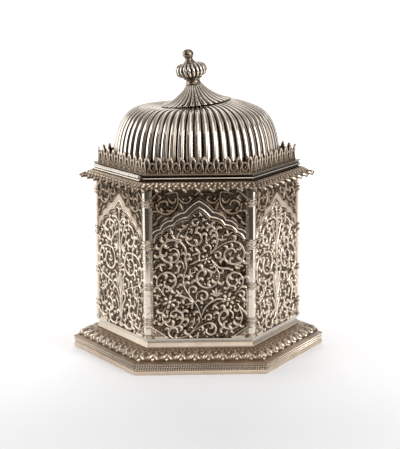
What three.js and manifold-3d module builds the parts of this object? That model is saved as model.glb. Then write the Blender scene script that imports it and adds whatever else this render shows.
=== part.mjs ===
// Hexagonal silver box with a hinged, domed lid: carved panels under cusped arches, corner pilasters,
// a moulded plinth, a leaf-edged eave, a pierced-edge cresting, a fluted dome and a leaning finial.
// Millimetres, +Z up. The origin is the centre of the underside, and the front panel faces -Y.

import * as THREE from 'three';
import { mergeVertices } from 'three/addons/utils/BufferGeometryUtils.js';
import Module from 'manifold-3d';

// The hexagon
const sides = 6;
const halfAngle = Math.PI / sides;
const boxFlats = 96;           // across the outside of the wall panels
const footSpread = 12;         // the foot stands out from the walls
const sheet = 0.9;             // silver sheet of the walls and the dome
const seam = 0.1;              // solder seam between pieces that are turned or cut to each other
const repeats = 9;             // ornament repeats along a side

// Plinth, from the bottom up
const footRimHeight = 2.2;
const footRimWidth = 3;
const ropeHeight = 3.6;
const ropeThickness = 1.2;
const ropeInset = 0.2;         // the rope band stands back from the foot's face
const stepHeight = 1.2;
const stepEdge = 0.5;          // upright edge of the step, and its thickness
const stepWidth = 3;           // from the foot's face to the leaf skirt
const skirtHeight = 4.4;
const cavettoHeight = 4.3;
const cavettoDepth = 1.2;
const bandSheet = 1;           // sheet of the plinth's bent bands
const basePlate = 0.8;
const baseReach = 0.6;         // the base plate shows this much beyond the walls

// Walls
const wallHeight = 83.4;
const rimPlate = 0.7;          // flat frame that closes the top of the walls
const archRelief = 0.5;
const archBite = 0.1;          // the arch band is sunk this far into its panel
const archSpring = 0.6;        // the arch starts this far above its collar

// Pilasters: bottom, top, how proud, how wide; heights above the floor of the walls
const shaftProud = 0.6;
const shaftLeg = 3.5;
const shaftTopGap = 1.7;       // room for the eave
const collars = [
  { from: 0, to: 0.9, proud: 0.9, leg: 4.2 },
  { from: 2, to: 7, proud: 1, leg: 4.6 },
  { from: 7.6, to: 8.9, proud: 1.1, leg: 5 },
  { from: 9.6, to: 10.9, proud: 1.1, leg: 5 },
  { from: 26.3, to: 27.5, proud: 1, leg: 4.6 },
  { from: 28.1, to: 29.3, proud: 1, leg: 4.6 },
  { from: 47.7, to: 49.7, proud: 1.1, leg: 5.3 },
  { from: 50.5, to: 52.5, proud: 1.1, leg: 5.3 },
  { from: 70.3, to: 73.1, proud: 1.1, leg: 5 },
];
const archCollar = collars[7];

// The carving that stands out most: scrolls that curl in round a sunk middle, as [along, up, radius], and
// the stems that carry them. Up is from the floor of the walls, and the finer leaves are left off
const carvingHeight = 0.7;
const carvingWidth = 1.6;
const scrollFacets = 6;
const scrollCurl = 0.25;       // share of its radius that a scroll loses in one turn
const scrollMiddle = 0.1;      // its middle's height
const frontScrolls = [
  [-14.5, 46, 6.2],
  [17.4, 45.3, 5.8],
  [-2.3, 54, 4.6],
  [-16.6, 30.8, 5.2],
  [4, 33.2, 6],
  [18, 31, 4.6],
  [-13.6, 12.4, 5.9],
  [15.2, 11.4, 6],
  [5.3, 4.7, 3.3],
];
const frontStems = [[[0.8, 10.4], [-3.6, 20.6], [-8.2, 28.4], [-7.6, 37], [-7.4, 44.4]]];
const sideMiddle = [[0, 1.2], [0, 62]];
const pairedScrolls = [         // and their mirror images, on the four other panels
  [8.4, 5.4, 3.9],
  [14.3, 13, 4],
  [11.3, 37, 5.2],
  [10, 52, 5.4],
];
const pairedBranch = [[1.4, 16], [9, 23.4], [20.8, 27.6], [21.8, 35], [19.6, 40.4]];

// Cusped arch on a panel: half widths and heights above the arch collar, from the apex outwards
const innerCusps = [[0, 17.6], [5.3, 12.7], [12.4, 8.5], [18.8, 4.6], [22.4, 0]];
const outerCusps = [[0, 21.4], [7.1, 15], [13.9, 11.4], [19.9, 7], [23.8, 3.6]];

// Eave
const eaveLength = 9.2;
const eaveValley = 6.6;        // down the slope to the notches between leaves
const eaveWing = 8.2;          // down the slope at the mitred corners, where the leaves flare
const eaveThickness = 0.8;
const eaveSlope = THREE.MathUtils.degToRad(27);
const eaveStand = 0.15;        // gap to the wall
const eaveDrop = 0.2;          // below the top of the walls

// Inner bezel that the lid closes over
const bezelDepth = 5;
const bezelRise = 2;
const bezelSheet = 0.8;
const bezelStep = 0.6;         // its upper part is set in, so that the lid turns clear of it

// Lid
const lidGap = 0.2;
const rimHeight = 3.2;
const rimReach = 1;            // the rim's beads stand out from the walls
const rimInside = 0.6;         // and its inner face stands in from them
const plateThickness = 0.8;
const crestHeight = 8.6;
const crestThickness = 0.8;
const crestInset = 0.2;        // in from the plate's edge
const crestGap = 0.9;          // to the dome's foot
const crestEnd = 0.2;          // the end buds stand this share of a repeat in from the corners

// Dome: crest line of the flutes, as a superellipse
const domeHeight = 31.5;       // above the lid plate
const domeSink = 2.8;          // the curve's widest place lies this far below the plate
const domeWallPower = 6.4;
const domeCrownPower = 2.4;
const domeFlutes = 60;
const domeFluteDepth = 1.1;
const crownFluteDepth = 0.5;
const crestRows = 6;           // facets up the outside and the inside, closer where the curve bends
const hollowRows = 5;
const rowsAtBend = 18;         // a radian of bend counts as this length
const hollowFacets = 24;

// Finial, leaning to -X on a crown that was pushed over with it
const finialLean = THREE.MathUtils.degToRad(8);
const crownSeat = 12;          // the crown leans fully to this radius, and not at all past the next
const crownReach = 34;
const spireSeat = 0.95;        // the spire's edge above the crown's middle
const spireRadius = 19.2;
const spireFlutes = 30;
const spireTop = 9.6;
const neckRadius = 3.9;
const neckHeight = 2.5;
const neckCollar = 5;
const bulbRadius = 8.8;
const bulbHeight = 8.2;
const bulbLobes = 20;
const bulbFluteDepth = 0.8;
const knobRadius = 3;
const knobNeck = 1.6;
const knobHeight = 7.2;
const rodRadius = 1.2;
const rodClearance = 0.25;
const rodIntoKnob = 3;
const washerRadius = 4;
const washerThickness = 0.6;
const nutFlats = 5;
const nutHeight = 2;
const rodTail = 0.8;           // below the nut

// Hinge on the front left side
const hingeSide = 5;
const knuckles = 5;
const hingeShare = 0.89;       // of the side's length
const barrelRadius = 1.05;
const pinRadius = 0.6;
const pinClearance = 0.08;
const knuckleGap = 0.2;
const hingeReach = 1.65;       // barrel's axis outside the wall's face
const hingeRise = 2.3;         // and above the top of the walls
const leafThickness = 0.5;
const leafClearance = 0.15;
const pinOverhang = 0.4;

// Levels and apothems that follow
const boxApothem = boxFlats / 2;
const footApothem = boxApothem + footSpread;
const skirtFoot = footApothem - stepWidth;
const ropeTop = footRimHeight + ropeHeight;
const stepTop = ropeTop + stepHeight;
const skirtTop = stepTop + skirtHeight;
const cavettoTop = skirtTop + cavettoHeight;
const floorTop = cavettoTop + basePlate;
const wallTop = floorTop + wallHeight;
const rimPlateTop = wallTop + rimPlate;
const lidBottom = rimPlateTop + lidGap;
const plateTop = lidBottom + rimHeight;
const wallInside = boxApothem - sheet;
const rimInner = boxApothem - rimInside;
const bezelTop = rimPlateTop + bezelRise;
const bezelUpper = wallInside - seam - bezelStep;
const archBase = floorTop + archCollar.to + seam;
const hingeApothem = boxApothem + hingeReach;
const hingeZ = wallTop + hingeRise;
const rimOuter = boxApothem + rimReach;
const hingeLength = 2 * rimOuter * Math.tan(halfAngle) * hingeShare;
const crestOuter = rimInner - seam - crestInset;
const crestInner = crestOuter - crestThickness;
const domeRadius = crestInner - crestGap;
const domeInnerRadius = domeRadius - domeFluteDepth - sheet;
const crownTop = plateTop + domeHeight;

const wasm = await Module();
wasm.setup();

// Closed geometry to a solid for joining and cutting, and back
function toSolid(geometry) {
  const bare = geometry.clone();
  bare.deleteAttribute('normal');
  bare.deleteAttribute('uv');
  const merged = mergeVertices(bare, 1e-4);
  const kept = [];
  for (let i = 0; i < merged.index.count; i += 3) {
    const [a, b, c] = [0, 1, 2].map((k) => merged.index.getX(i + k));
    if (a !== b && b !== c && c !== a) kept.push(a, b, c);
  }
  return new wasm.Manifold(new wasm.Mesh({
    numProp: 3,
    vertProperties: Float32Array.from(merged.attributes.position.array),
    triVerts: Uint32Array.from(kept),
  }));
}

function toGeometry(solid) {
  const mesh = solid.getMesh();
  const geometry = new THREE.BufferGeometry();
  geometry.setAttribute('position', new THREE.BufferAttribute(mesh.vertProperties, 3));
  geometry.setIndex(new THREE.BufferAttribute(mesh.triVerts, 1));
  geometry.computeVertexNormals();
  return geometry;
}

function join(geometries) {
  const whole = geometries.map(toSolid).reduce((joined, next) => joined.add(next));
  return toGeometry(whole);
}

function cut(geometry, tool) {
  return toGeometry(toSolid(geometry).subtract(toSolid(tool)));
}

// A ring or disc turned about +Z; the profile is [radius, height] up the outside and down the inside
function turned(profile, segments, closed = true) {
  const points = profile.map(([radius, height]) => new THREE.Vector2(radius, height));
  if (closed) points.push(points[0].clone());
  return new THREE.LatheGeometry(points, segments, Math.PI / 2).rotateX(Math.PI / 2);
}

// The same on a hexagon with corners on +X and -X; the profile is [apothem, height]
function hexRing(profile, closed = true) {
  const scale = 1 / Math.cos(halfAngle);
  return turned(profile.map(([apothem, height]) => [apothem * scale, height]), sides, closed);
}

// A turned shape with convex flutes: every samples-th column is a valley, sunk along the normal
function fluted(profile, flutes, samples, closed = true) {
  const geometry = turned(profile, flutes * samples, closed);
  const depths = profile.map((point) => point[2]);
  if (closed) depths.push(depths[0]);
  const { position, normal } = geometry.attributes;
  for (let i = 0; i < position.count; i += 1) {
    const column = Math.floor(i / depths.length);
    if (column % samples === 0) {
      const depth = depths[i % depths.length];
      position.setXYZ(
        i,
        position.getX(i) - depth * normal.getX(i),
        position.getY(i) - depth * normal.getY(i),
        position.getZ(i) - depth * normal.getZ(i),
      );
    }
  }
  return geometry;
}

// An outline seen from the front, [along, up], with its thickness outwards from the given apothem
function facing(outline, thickness, apothem, z) {
  const shape = new THREE.Shape(outline.map(([along, up]) => new THREE.Vector2(along, up)));
  const geometry = new THREE.ExtrudeGeometry(shape, { depth: thickness, bevelEnabled: false });
  return geometry.rotateX(Math.PI / 2).translate(0, -apothem, z);
}

// A section seen along a side, x outwards and y up, run from one place along the side to another
function runAlong(shape, from, to, apothem, z) {
  const options = { depth: to - from, bevelEnabled: false, curveSegments: 8 };
  const basis = new THREE.Matrix4().makeBasis(
    new THREE.Vector3(0, -1, 0),
    new THREE.Vector3(0, 0, 1),
    new THREE.Vector3(-1, 0, 0),
  );
  return new THREE.ExtrudeGeometry(shape, options).applyMatrix4(basis).translate(to, -apothem, z);
}

function rectangle(x0, y0, x1, y1) {
  return new THREE.Shape([[x0, y0], [x1, y0], [x1, y1], [x0, y1]].map((p) => new THREE.Vector2(...p)));
}

// Finishes
const finishes = {
  carved: new THREE.MeshStandardMaterial({ color: 0x9a8c7a, roughness: 0.38, metalness: 1 }),
  plain: new THREE.MeshStandardMaterial({ color: 0xc9bda9, roughness: 0.28, metalness: 1 }),
  polished: new THREE.MeshStandardMaterial({ color: 0xd8d0c2, roughness: 0.18, metalness: 1 }),
  inside: new THREE.MeshStandardMaterial({ color: 0xb3a897, roughness: 0.45, metalness: 1 }),
};

const box = new THREE.Group();

function add(name, geometry, finish, parent = box) {
  const mesh = new THREE.Mesh(geometry, finishes[finish]);
  mesh.name = name;
  parent.add(mesh);
  return mesh;
}

// Sides go round from the front, which faces -Y
const sideNames = ['front', 'front_right', 'back_right', 'back', 'back_left', 'front_left'];
const sideGroups = sideNames.map((name, index) => {
  const group = new THREE.Group();
  group.rotation.z = index * 2 * halfAngle;
  box.add(group);
  return group;
});

// Plinth
function footRim() {
  const inner = footApothem - footRimWidth;
  const round = footRimHeight / 4;
  return hexRing([
    [inner, 0],
    [footApothem - round, 0],
    [footApothem, round],
    [footApothem, footRimHeight - round],
    [footApothem - round, footRimHeight],
    [inner, footRimHeight],
  ]);
}

function ropeBand() {
  const face = footApothem - ropeInset;
  const inner = face - ropeThickness;
  const bulge = ropeInset;
  const middle = footRimHeight + ropeHeight / 2;
  return hexRing([
    [inner, footRimHeight],
    [face - bulge, footRimHeight],
    [face, (footRimHeight + middle) / 2],
    [face - bulge, middle],
    [face, (middle + ropeTop) / 2],
    [face - bulge, ropeTop],
    [inner, ropeTop],
  ]);
}

function plinthStep() {
  const outer = footApothem;
  const inner = skirtFoot;
  return hexRing([
    [outer - ropeInset - ropeThickness - stepEdge, ropeTop],
    [outer, ropeTop],
    [outer, ropeTop + stepEdge],
    [inner + stepEdge, stepTop],
    [inner - bandSheet, stepTop],
    [inner - bandSheet, stepTop - stepEdge],
  ]);
}

function leafSkirt() {
  const foot = skirtFoot;
  const head = boxApothem + baseReach;
  const outer = [];
  const inner = [];
  const steps = 5;
  for (let i = 0; i <= steps; i += 1) {
    const angle = (i / steps) * (Math.PI / 2);
    const reach = (foot - head) * Math.cos(angle);
    const rise = skirtHeight * Math.sin(angle);
    const under = 1 - bandSheet / skirtHeight;
    outer.push([head + reach, stepTop + rise]);
    inner.unshift([head - bandSheet + (reach * (foot - head - bandSheet)) / (foot - head), stepTop + rise * under]);
  }
  inner[0] = [head - bandSheet, skirtTop];
  inner[inner.length - 1][1] = stepTop;
  return hexRing([...outer, ...inner]);
}

function cavettoBand() {
  const face = boxApothem + baseReach;
  const outer = [[face, skirtTop], [face, skirtTop + bandSheet / 2]];
  const steps = 4;
  for (let i = 1; i <= steps; i += 1) {
    const t = i / steps;
    const height = skirtTop + bandSheet / 2 + (cavettoHeight - bandSheet / 2) * t;
    outer.push([face - cavettoDepth * Math.sin(Math.PI * (0.12 + 0.76 * t)), height]);
  }
  const inner = outer.map(([apothem, height]) => [apothem - bandSheet, height]).reverse();
  return hexRing([...outer, ...inner]);
}

add('foot_rim', footRim(), 'plain');
add('rope_band', ropeBand(), 'carved');
add('plinth_step', plinthStep(), 'plain');
add('acanthus_skirt', leafSkirt(), 'carved');
add('cavetto_band', cavettoBand(), 'plain');
const baseApothem = boxApothem + baseReach;
add('base_plate', hexRing([
  [0, cavettoTop],
  [baseApothem, cavettoTop],
  [baseApothem, floorTop],
  [0, floorTop],
], false), 'inside');

// Walls, each a mitred panel with its cusped arch
function archLine(cusps) {
  const half = new THREE.Path();
  half.moveTo(...cusps[0]);
  for (let i = 1; i < cusps.length; i += 1) {
    const [x0, z0] = cusps[i - 1];
    const [x1, z1] = cusps[i];
    const pull = i === 1 ? 0.55 : 0.75;
    half.quadraticCurveTo(x0 + (x1 - x0) * pull, z0 + (z1 - z0) * 0.22, x1, z1);
  }
  const right = half.getPoints(3).map((p) => [p.x, p.y]);
  const left = right.slice(1).reverse().map(([x, z]) => [-x, z]);
  return [...left, ...right];
}

// A closed solid from corner points, with each face listed anticlockwise from outside
function faceted(points, faces) {
  const geometry = new THREE.BufferGeometry();
  geometry.setAttribute('position', new THREE.Float32BufferAttribute(points.flat(), 3));
  geometry.setIndex(faces.flatMap(([a, b, c, d]) => (d === undefined ? [a, b, c] : [a, b, c, a, c, d])));
  return geometry;
}

function carvedScroll([along, up, radius]) {
  const points = [];
  const faces = [];
  const n = scrollFacets;
  for (let i = 0; i < n; i += 1) {
    const angle = (i / n) * 2 * Math.PI;
    const curled = 1 - scrollCurl * (along < 0 ? i / n : 1 - i / n);
    [[radius + carvingWidth / 2, -archBite], [radius, carvingHeight]].forEach(([reach, height]) => {
      const [x, z] = [curled * reach * Math.cos(angle), curled * reach * Math.sin(angle)];
      points.push([along + x, -boxApothem - height, floorTop + up + z]);
    });
    const [here, next] = [2 * i, 2 * ((i + 1) % n)];
    faces.push([here, next, next + 1, here + 1], [here + 1, next + 1, 2 * n], [next, here, 2 * n + 1]);
  }
  points.push([along, -boxApothem - scrollMiddle, floorTop + up], [along, -boxApothem + archBite, floorTop + up]);
  return faceted(points, faces);
}

function carvedStem(line) {
  const points = [];
  const faces = [[0, 1, 2]];
  line.forEach(([along, up], i) => {
    const [fromAlong, fromUp] = line[Math.max(i - 1, 0)];
    const [toAlong, toUp] = line[Math.min(i + 1, line.length - 1)];
    const length = Math.hypot(toAlong - fromAlong, toUp - fromUp);
    const right = [(toUp - fromUp) / length, (fromAlong - toAlong) / length];
    [[-1, -archBite], [1, -archBite], [0, carvingHeight]].forEach(([side, height]) => {
      const off = (side * carvingWidth) / 2;
      points.push([along + off * right[0], -boxApothem - height, floorTop + up + off * right[1]]);
    });
    if (i > 0) {
      const [l0, r0, c0, l1, r1, c1] = [0, 1, 2, 3, 4, 5].map((k) => 3 * (i - 1) + k);
      faces.push([r0, r1, c1, c0], [c0, c1, l1, l0], [l0, l1, r1, r0]);
    }
  });
  const last = 3 * (line.length - 1);
  faces.push([last + 1, last, last + 2]);
  return faceted(points, faces);
}

function wallPanel(scrolls, stems) {
  const outer = boxApothem * Math.tan(halfAngle) - seam;
  const inner = wallInside * Math.tan(halfAngle) - seam;
  const plan = new THREE.Shape([
    new THREE.Vector2(-outer, -boxApothem),
    new THREE.Vector2(outer, -boxApothem),
    new THREE.Vector2(inner, -wallInside),
    new THREE.Vector2(-inner, -wallInside),
  ]);
  const slab = new THREE.ExtrudeGeometry(plan, { depth: wallHeight, bevelEnabled: false });
  slab.translate(0, 0, floorTop);
  const outerLine = archLine(outerCusps);
  const innerLine = archLine(innerCusps);
  const foot = outerCusps[outerCusps.length - 1][0];
  const outline = [[-foot, 0], ...outerLine, [foot, 0], ...innerLine.reverse()];
  const band = facing(outline, archRelief + archBite, boxApothem - archBite, archBase + archSpring);
  return join([slab, band, ...stems.map(carvedStem), ...scrolls.map(carvedScroll)]);
}

const flip = ([along, ...rest]) => [-along, ...rest];
const sideScrolls = [...pairedScrolls, ...pairedScrolls.map(flip)];
const sideStems = [sideMiddle, pairedBranch, pairedBranch.map(flip)];
sideNames.forEach((name, index) => {
  const asFront = index % (sides / 2) === 0;
  const panel = asFront ? wallPanel(frontScrolls, frontStems) : wallPanel(sideScrolls, sideStems);
  add(`wall_panel_${name}`, panel, 'carved', sideGroups[index]);
});

// Pilasters: a bent strip on each corner with stacked collars. The first stands on the front's right corner
function bentStrip(proud, leg, from, to) {
  const face = boxApothem + seam;
  const outer = (face + proud) / Math.cos(halfAngle);
  const inner = face / Math.cos(halfAngle);
  const innerLeg = leg - proud * Math.tan(halfAngle);
  const bevel = proud * 0.4;
  const along = (start, length, sign) => new THREE.Vector2(
    start - length * Math.sin(halfAngle),
    sign * length * Math.cos(halfAngle),
  );
  const shape = new THREE.Shape([
    along(inner, innerLeg, -1),
    along(outer, leg - bevel, -1),
    new THREE.Vector2(outer, 0),
    along(outer, leg - bevel, 1),
    along(inner, innerLeg, 1),
    new THREE.Vector2(inner, 0),
  ]);
  const strip = new THREE.ExtrudeGeometry(shape, { depth: to - from, bevelEnabled: false });
  return strip.translate(0, 0, floorTop + from);
}

function pilaster() {
  const shaft = bentStrip(shaftProud, shaftLeg, 0, wallHeight - shaftTopGap);
  return join([shaft, ...collars.map((c) => bentStrip(c.proud, c.leg, c.from, c.to))]);
}

const cornerNames = ['right', 'back_right', 'back_left', 'left', 'front_left', 'front_right'];
cornerNames.forEach((name, index) => {
  const corner = add(`pilaster_${name}`, pilaster(), 'plain');
  corner.rotation.z = index * 2 * halfAngle;
});

// Top of the walls
add('body_rim', hexRing([
  [wallInside, wallTop],
  [boxApothem, wallTop],
  [boxApothem, rimPlateTop],
  [wallInside, rimPlateTop],
]), 'plain');

function mouthBezel() {
  const lower = wallInside - seam;
  return hexRing([
    [lower - bezelSheet, wallTop - bezelDepth],
    [lower, wallTop - bezelDepth],
    [lower, wallTop],
    [bezelUpper, rimPlateTop + seam],
    [bezelUpper, bezelTop],
    [bezelUpper - bezelSheet, bezelTop],
    [bezelUpper - bezelSheet, rimPlateTop],
    [lower - bezelSheet, wallTop - seam],
  ]);
}

add('mouth_bezel', mouthBezel(), 'inside');

// Eave: one leaf-edged strip on each side, mitred at the hips
const leafEdge = [[0, 0], [0.28, 0.46], [0.5, 1], [0.72, 0.46]];

function eaveStrip() {
  const topApothem = boxApothem + eaveStand;
  const halfWidth = (down) => (topApothem + down * Math.cos(eaveSlope)) * Math.tan(halfAngle) - seam;
  const outline = [[halfWidth(0), 0], [-halfWidth(0), 0], [-halfWidth(eaveWing), -eaveWing]];
  for (let i = 0; i < repeats; i += 1) {
    leafEdge.slice(i ? 0 : 1).forEach(([along, tip]) => {
      const down = eaveValley + (eaveLength - eaveValley) * tip;
      outline.push([((i + along) / repeats - 0.5) * 2 * halfWidth(down), -down]);
    });
  }
  outline.push([halfWidth(eaveWing), -eaveWing]);
  const strip = facing(outline, eaveThickness, 0, 0);
  strip.rotateX(eaveSlope - Math.PI / 2);
  return strip.translate(0, -topApothem, wallTop - eaveDrop);
}

sideNames.forEach((name, index) => {
  add(`eave_${name}`, eaveStrip(), 'carved', sideGroups[index]);
});

// Hinge: knuckles rolled on two leaves, about one pin
function knuckleShape(tailEnd) {
  const half = leafThickness / 2 + leafClearance / 2;
  const meet = Math.asin(half / barrelRadius);
  const shape = new THREE.Shape();
  shape.moveTo(half, -tailEnd);
  shape.absarc(0, 0, barrelRadius, -Math.PI / 2 + meet, Math.PI * 1.5 - meet, false);
  shape.lineTo(-half, -tailEnd);
  shape.closePath();
  const bore = new THREE.Path();
  bore.absarc(0, 0, pinRadius + pinClearance, 0, 2 * Math.PI, true);
  shape.holes.push(bore);
  return shape;
}

function knuckleSpan(index) {
  const pitch = hingeLength / knuckles;
  const start = -hingeLength / 2 + index * pitch;
  return [start + knuckleGap / 2, start + pitch - knuckleGap / 2];
}

function bodyLeaf() {
  const top = -(barrelRadius + leafClearance);
  const foot = top - leafThickness;
  const plate = rectangle(boxApothem - hingeApothem + leafClearance, foot, leafThickness, top);
  const pieces = [runAlong(plate, -hingeLength / 2, hingeLength / 2, hingeApothem, hingeZ)];
  for (let i = 0; i < knuckles; i += 2) {
    const [from, to] = knuckleSpan(i);
    pieces.push(runAlong(knuckleShape(-top + leafThickness / 2), from, to, hingeApothem, hingeZ));
  }
  return join(pieces);
}

function lidLeaf() {
  const near = -(barrelRadius + leafClearance);
  const half = barrelRadius * 0.86;
  const plate = rectangle(near - leafThickness, -half, near, half);
  const pieces = [runAlong(plate, -hingeLength / 2, hingeLength / 2, hingeApothem, hingeZ)];
  for (let i = 1; i < knuckles; i += 2) {
    const [from, to] = knuckleSpan(i);
    const knuckle = runAlong(knuckleShape(-near + leafThickness / 2), from, to, 0, 0);
    knuckle.rotateX(Math.PI / 2);
    pieces.push(knuckle.translate(0, -hingeApothem, hingeZ));
  }
  return join(pieces);
}

function hingePin() {
  const half = hingeLength / 2 + pinOverhang;
  const profile = [
    [0, -half],
    [pinRadius * 0.8, -half],
    [pinRadius, -half + pinRadius / 3],
    [pinRadius, half - pinRadius / 3],
    [pinRadius * 0.8, half],
    [0, half],
  ];
  const pin = turned(profile, 16, false);
  return pin.rotateY(Math.PI / 2).translate(0, -hingeApothem, hingeZ);
}

add('hinge_leaf_body', bodyLeaf(), 'polished', sideGroups[hingeSide]);
add('hinge_leaf_lid', lidLeaf(), 'polished', sideGroups[hingeSide]);
add('hinge_pin', hingePin(), 'polished', sideGroups[hingeSide]);

// Lid rim: two beads with a hollow between them, notched on the hinge's side for the barrel
function lidRim() {
  const at = (share) => lidBottom + rimHeight * share;
  const hollow = rimReach * 0.75;
  const ring = hexRing([
    [rimInner, lidBottom],
    [rimOuter - rimReach * 0.6, lidBottom],
    [rimOuter - rimReach * 0.15, at(0.08)],
    [rimOuter, at(0.24)],
    [rimOuter - rimReach * 0.15, at(0.4)],
    [rimOuter - hollow, at(0.5)],
    [rimOuter - hollow, at(0.74)],
    [rimOuter - rimReach * 0.2, at(0.78)],
    [rimOuter, at(0.9)],
    [rimOuter - rimReach * 0.2, plateTop],
    [rimInner, plateTop],
  ]);
  const behindLeaf = -(barrelRadius + leafClearance) - leafThickness - seam;
  const notch = rectangle(behindLeaf, lidBottom - hingeZ - seam, rimReach + hingeReach, barrelRadius);
  const half = hingeLength / 2 + pinOverhang + leafClearance;
  const tool = runAlong(notch, -half, half, hingeApothem, hingeZ);
  return cut(ring, tool.rotateZ(hingeSide * 2 * halfAngle));
}

function lidPlate() {
  const plate = hexRing([
    [0, plateTop - plateThickness],
    [rimInner - seam, plateTop - plateThickness],
    [rimInner - seam, plateTop],
    [0, plateTop],
  ], false);
  const through = plateThickness * 2;
  const hole = turned([
    [0, plateTop - through],
    [domeInnerRadius, plateTop - through],
    [domeInnerRadius, plateTop + through],
    [0, plateTop + through],
  ], hollowFacets, false);
  return cut(plate, hole);
}

add('lid_rim', lidRim(), 'plain');
add('lid_plate', lidPlate(), 'inside');

// Cresting: a strip on each side whose top edge is cut to buds with loops between them. The points run
// from a bud's middle to the next loop's, in repeats along and in strip heights up
const budEdge = [[0, 1], [0.23, 0.84], [0.27, 0.62], [0.5, 0.74]];

function cresting() {
  const half = crestInner * Math.tan(halfAngle) - seam;
  const pitch = (2 * half) / (repeats + 2 * crestEnd);
  const outline = [[-half, 0], [-half, budEdge[1][1] * crestHeight]];
  for (let i = 0; i <= repeats; i += 1) {
    const middle = (i + crestEnd) * pitch - half;
    const before = i > 0 ? budEdge.slice(1, -1).reverse() : [];
    const after = i < repeats ? budEdge.slice(1) : [];
    before.forEach(([along, up]) => outline.push([middle - along * pitch, up * crestHeight]));
    outline.push([middle, budEdge[0][1] * crestHeight]);
    after.forEach(([along, up]) => outline.push([middle + along * pitch, up * crestHeight]));
  }
  outline.push([half, budEdge[1][1] * crestHeight], [half, 0]);
  return facing(outline, crestThickness, crestInner, plateTop);
}

sideNames.forEach((name, index) => {
  add(`cresting_${name}`, cresting(), 'carved', sideGroups[index]);
});

// Dome
function leanCrown(geometry) {
  const { position } = geometry.attributes;
  for (let i = 0; i < position.count; i += 1) {
    const x = position.getX(i);
    const radius = Math.hypot(x, position.getY(i));
    const share = 1 - THREE.MathUtils.smoothstep(radius, crownSeat, crownReach);
    if (position.getZ(i) > plateTop + domeSink) {
      position.setZ(i, position.getZ(i) + x * Math.tan(finialLean) * share);
    }
  }
  return geometry;
}

function evenRows(radius, height, rows) {
  const total = height + domeSink;
  const start = domeSink / total;
  const fine = [];
  const count = 600;
  for (let i = 0; i <= count; i += 1) {
    const angle = (i / count) * (Math.PI / 2);
    const across = Math.cos(angle) ** (2 / domeWallPower);
    const rise = Math.sin(angle) ** (2 / domeCrownPower);
    if (rise > start) fine.push([i === count ? 0 : radius * across, plateTop - domeSink + total * rise]);
  }
  const lengths = [0];
  const heading = (i) => Math.atan2(fine[i][1] - fine[i - 1][1], fine[i - 1][0] - fine[i][0]);
  for (let i = 1; i < fine.length; i += 1) {
    const step = Math.hypot(fine[i][0] - fine[i - 1][0], fine[i][1] - fine[i - 1][1]);
    const bend = i > 1 ? Math.abs(heading(i) - heading(i - 1)) : 0;
    lengths.push(lengths[i - 1] + step + rowsAtBend * bend);
  }
  const whole = lengths[lengths.length - 1];
  const points = [];
  for (let row = 0; row <= rows; row += 1) {
    const wanted = (whole * row) / rows;
    let k = lengths.findIndex((length) => length >= wanted);
    if (k < 1) k = 1;
    const t = (wanted - lengths[k - 1]) / (lengths[k] - lengths[k - 1]);
    points.push([0, 1].map((axis) => fine[k - 1][axis] + (fine[k][axis] - fine[k - 1][axis]) * t));
  }
  points[0][1] = plateTop;
  points[rows][0] = 0;
  return points;
}

function dome() {
  const crest = evenRows(domeRadius, domeHeight, crestRows);
  const depth = (radius) => {
    const share = radius / domeRadius;
    return crownFluteDepth * Math.min(1, share * 2) + (domeFluteDepth - crownFluteDepth) * share ** 3;
  };
  const outer = fluted([[0, plateTop, 0], ...crest.map(([r, z]) => [r, z, r > 0 ? depth(r) : 0])],
    domeFlutes, 3, false);
  const { position } = outer.attributes;
  for (let i = 0; i < position.count; i += 1) {
    if (position.getZ(i) < plateTop + seam) position.setZ(i, plateTop);
  }
  const hollow = evenRows(domeInnerRadius, domeHeight - sheet - crownFluteDepth, hollowRows);
  const below = plateTop - sheet;
  const inner = turned([[0, below], [domeInnerRadius, below], ...hollow], hollowFacets, false);
  const hole = turned([[0, -sheet * 8], [rodRadius + rodClearance, -sheet * 8],
    [rodRadius + rodClearance, sheet * 8], [0, sheet * 8]], 16, false);
  hole.rotateY(-finialLean).translate(0, 0, crownTop);
  const shell = toSolid(leanCrown(outer)).subtract(toSolid(leanCrown(inner)));
  return toGeometry(shell.subtract(toSolid(hole)));
}

add('dome', dome(), 'polished');

// Finial: everything on one rod, which leans about the crown's middle
const finial = new THREE.Group();
finial.position.z = crownTop;
finial.rotation.y = -finialLean;
box.add(finial);

const boreRadius = rodRadius + rodClearance;
const spireTopZ = spireSeat + spireTop;
const neckBottom = spireTopZ + seam;
const neckTop = neckBottom + neckHeight;
const collarTop = neckTop + bandSheet * 0.7;
const bulbBottom = collarTop + seam;
const bulbTop = bulbBottom + bulbHeight;
const knobBottom = bulbTop + seam;
const knobTop = knobBottom + knobHeight;

function spire() {
  const at = (share, rise, depth) => [spireRadius * share, spireSeat + spireTop * rise, depth];
  return fluted([
    at(0.98, 0, 0),
    at(1, 0.06, 0.4),
    at(0.74, 0.16, 0.6),
    at(0.53, 0.39, 0.5),
    at(0.27, 0.86, 0.2),
    [neckRadius, spireTopZ, 0],
    [boreRadius, spireTopZ, 0],
    [boreRadius, spireTopZ - sheet, 0],
    at(0.5, 0.25, 0),
    at(0.7, 0.05, 0),
  ], spireFlutes, 2);
}

function finialNeck() {
  return turned([
    [boreRadius, neckBottom],
    [neckRadius, neckBottom],
    [neckRadius * 0.95, (neckBottom + neckTop) / 2],
    [neckRadius, neckTop],
    [neckCollar, neckTop + seam],
    [neckCollar, collarTop],
    [boreRadius, collarTop],
  ], 16);
}

function finialBulb() {
  const at = (share, rise, depth) => [bulbRadius * share, bulbBottom + bulbHeight * rise, depth];
  return fluted([
    [boreRadius, bulbBottom, 0],
    at(0.55, 0, 0.2),
    at(0.85, 0.17, 0.6),
    at(1, 0.48, bulbFluteDepth),
    at(0.88, 0.8, 0.6),
    at(0.55, 0.97, 0.2),
    [boreRadius, bulbTop, 0],
  ], bulbLobes, 3);
}

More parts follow.
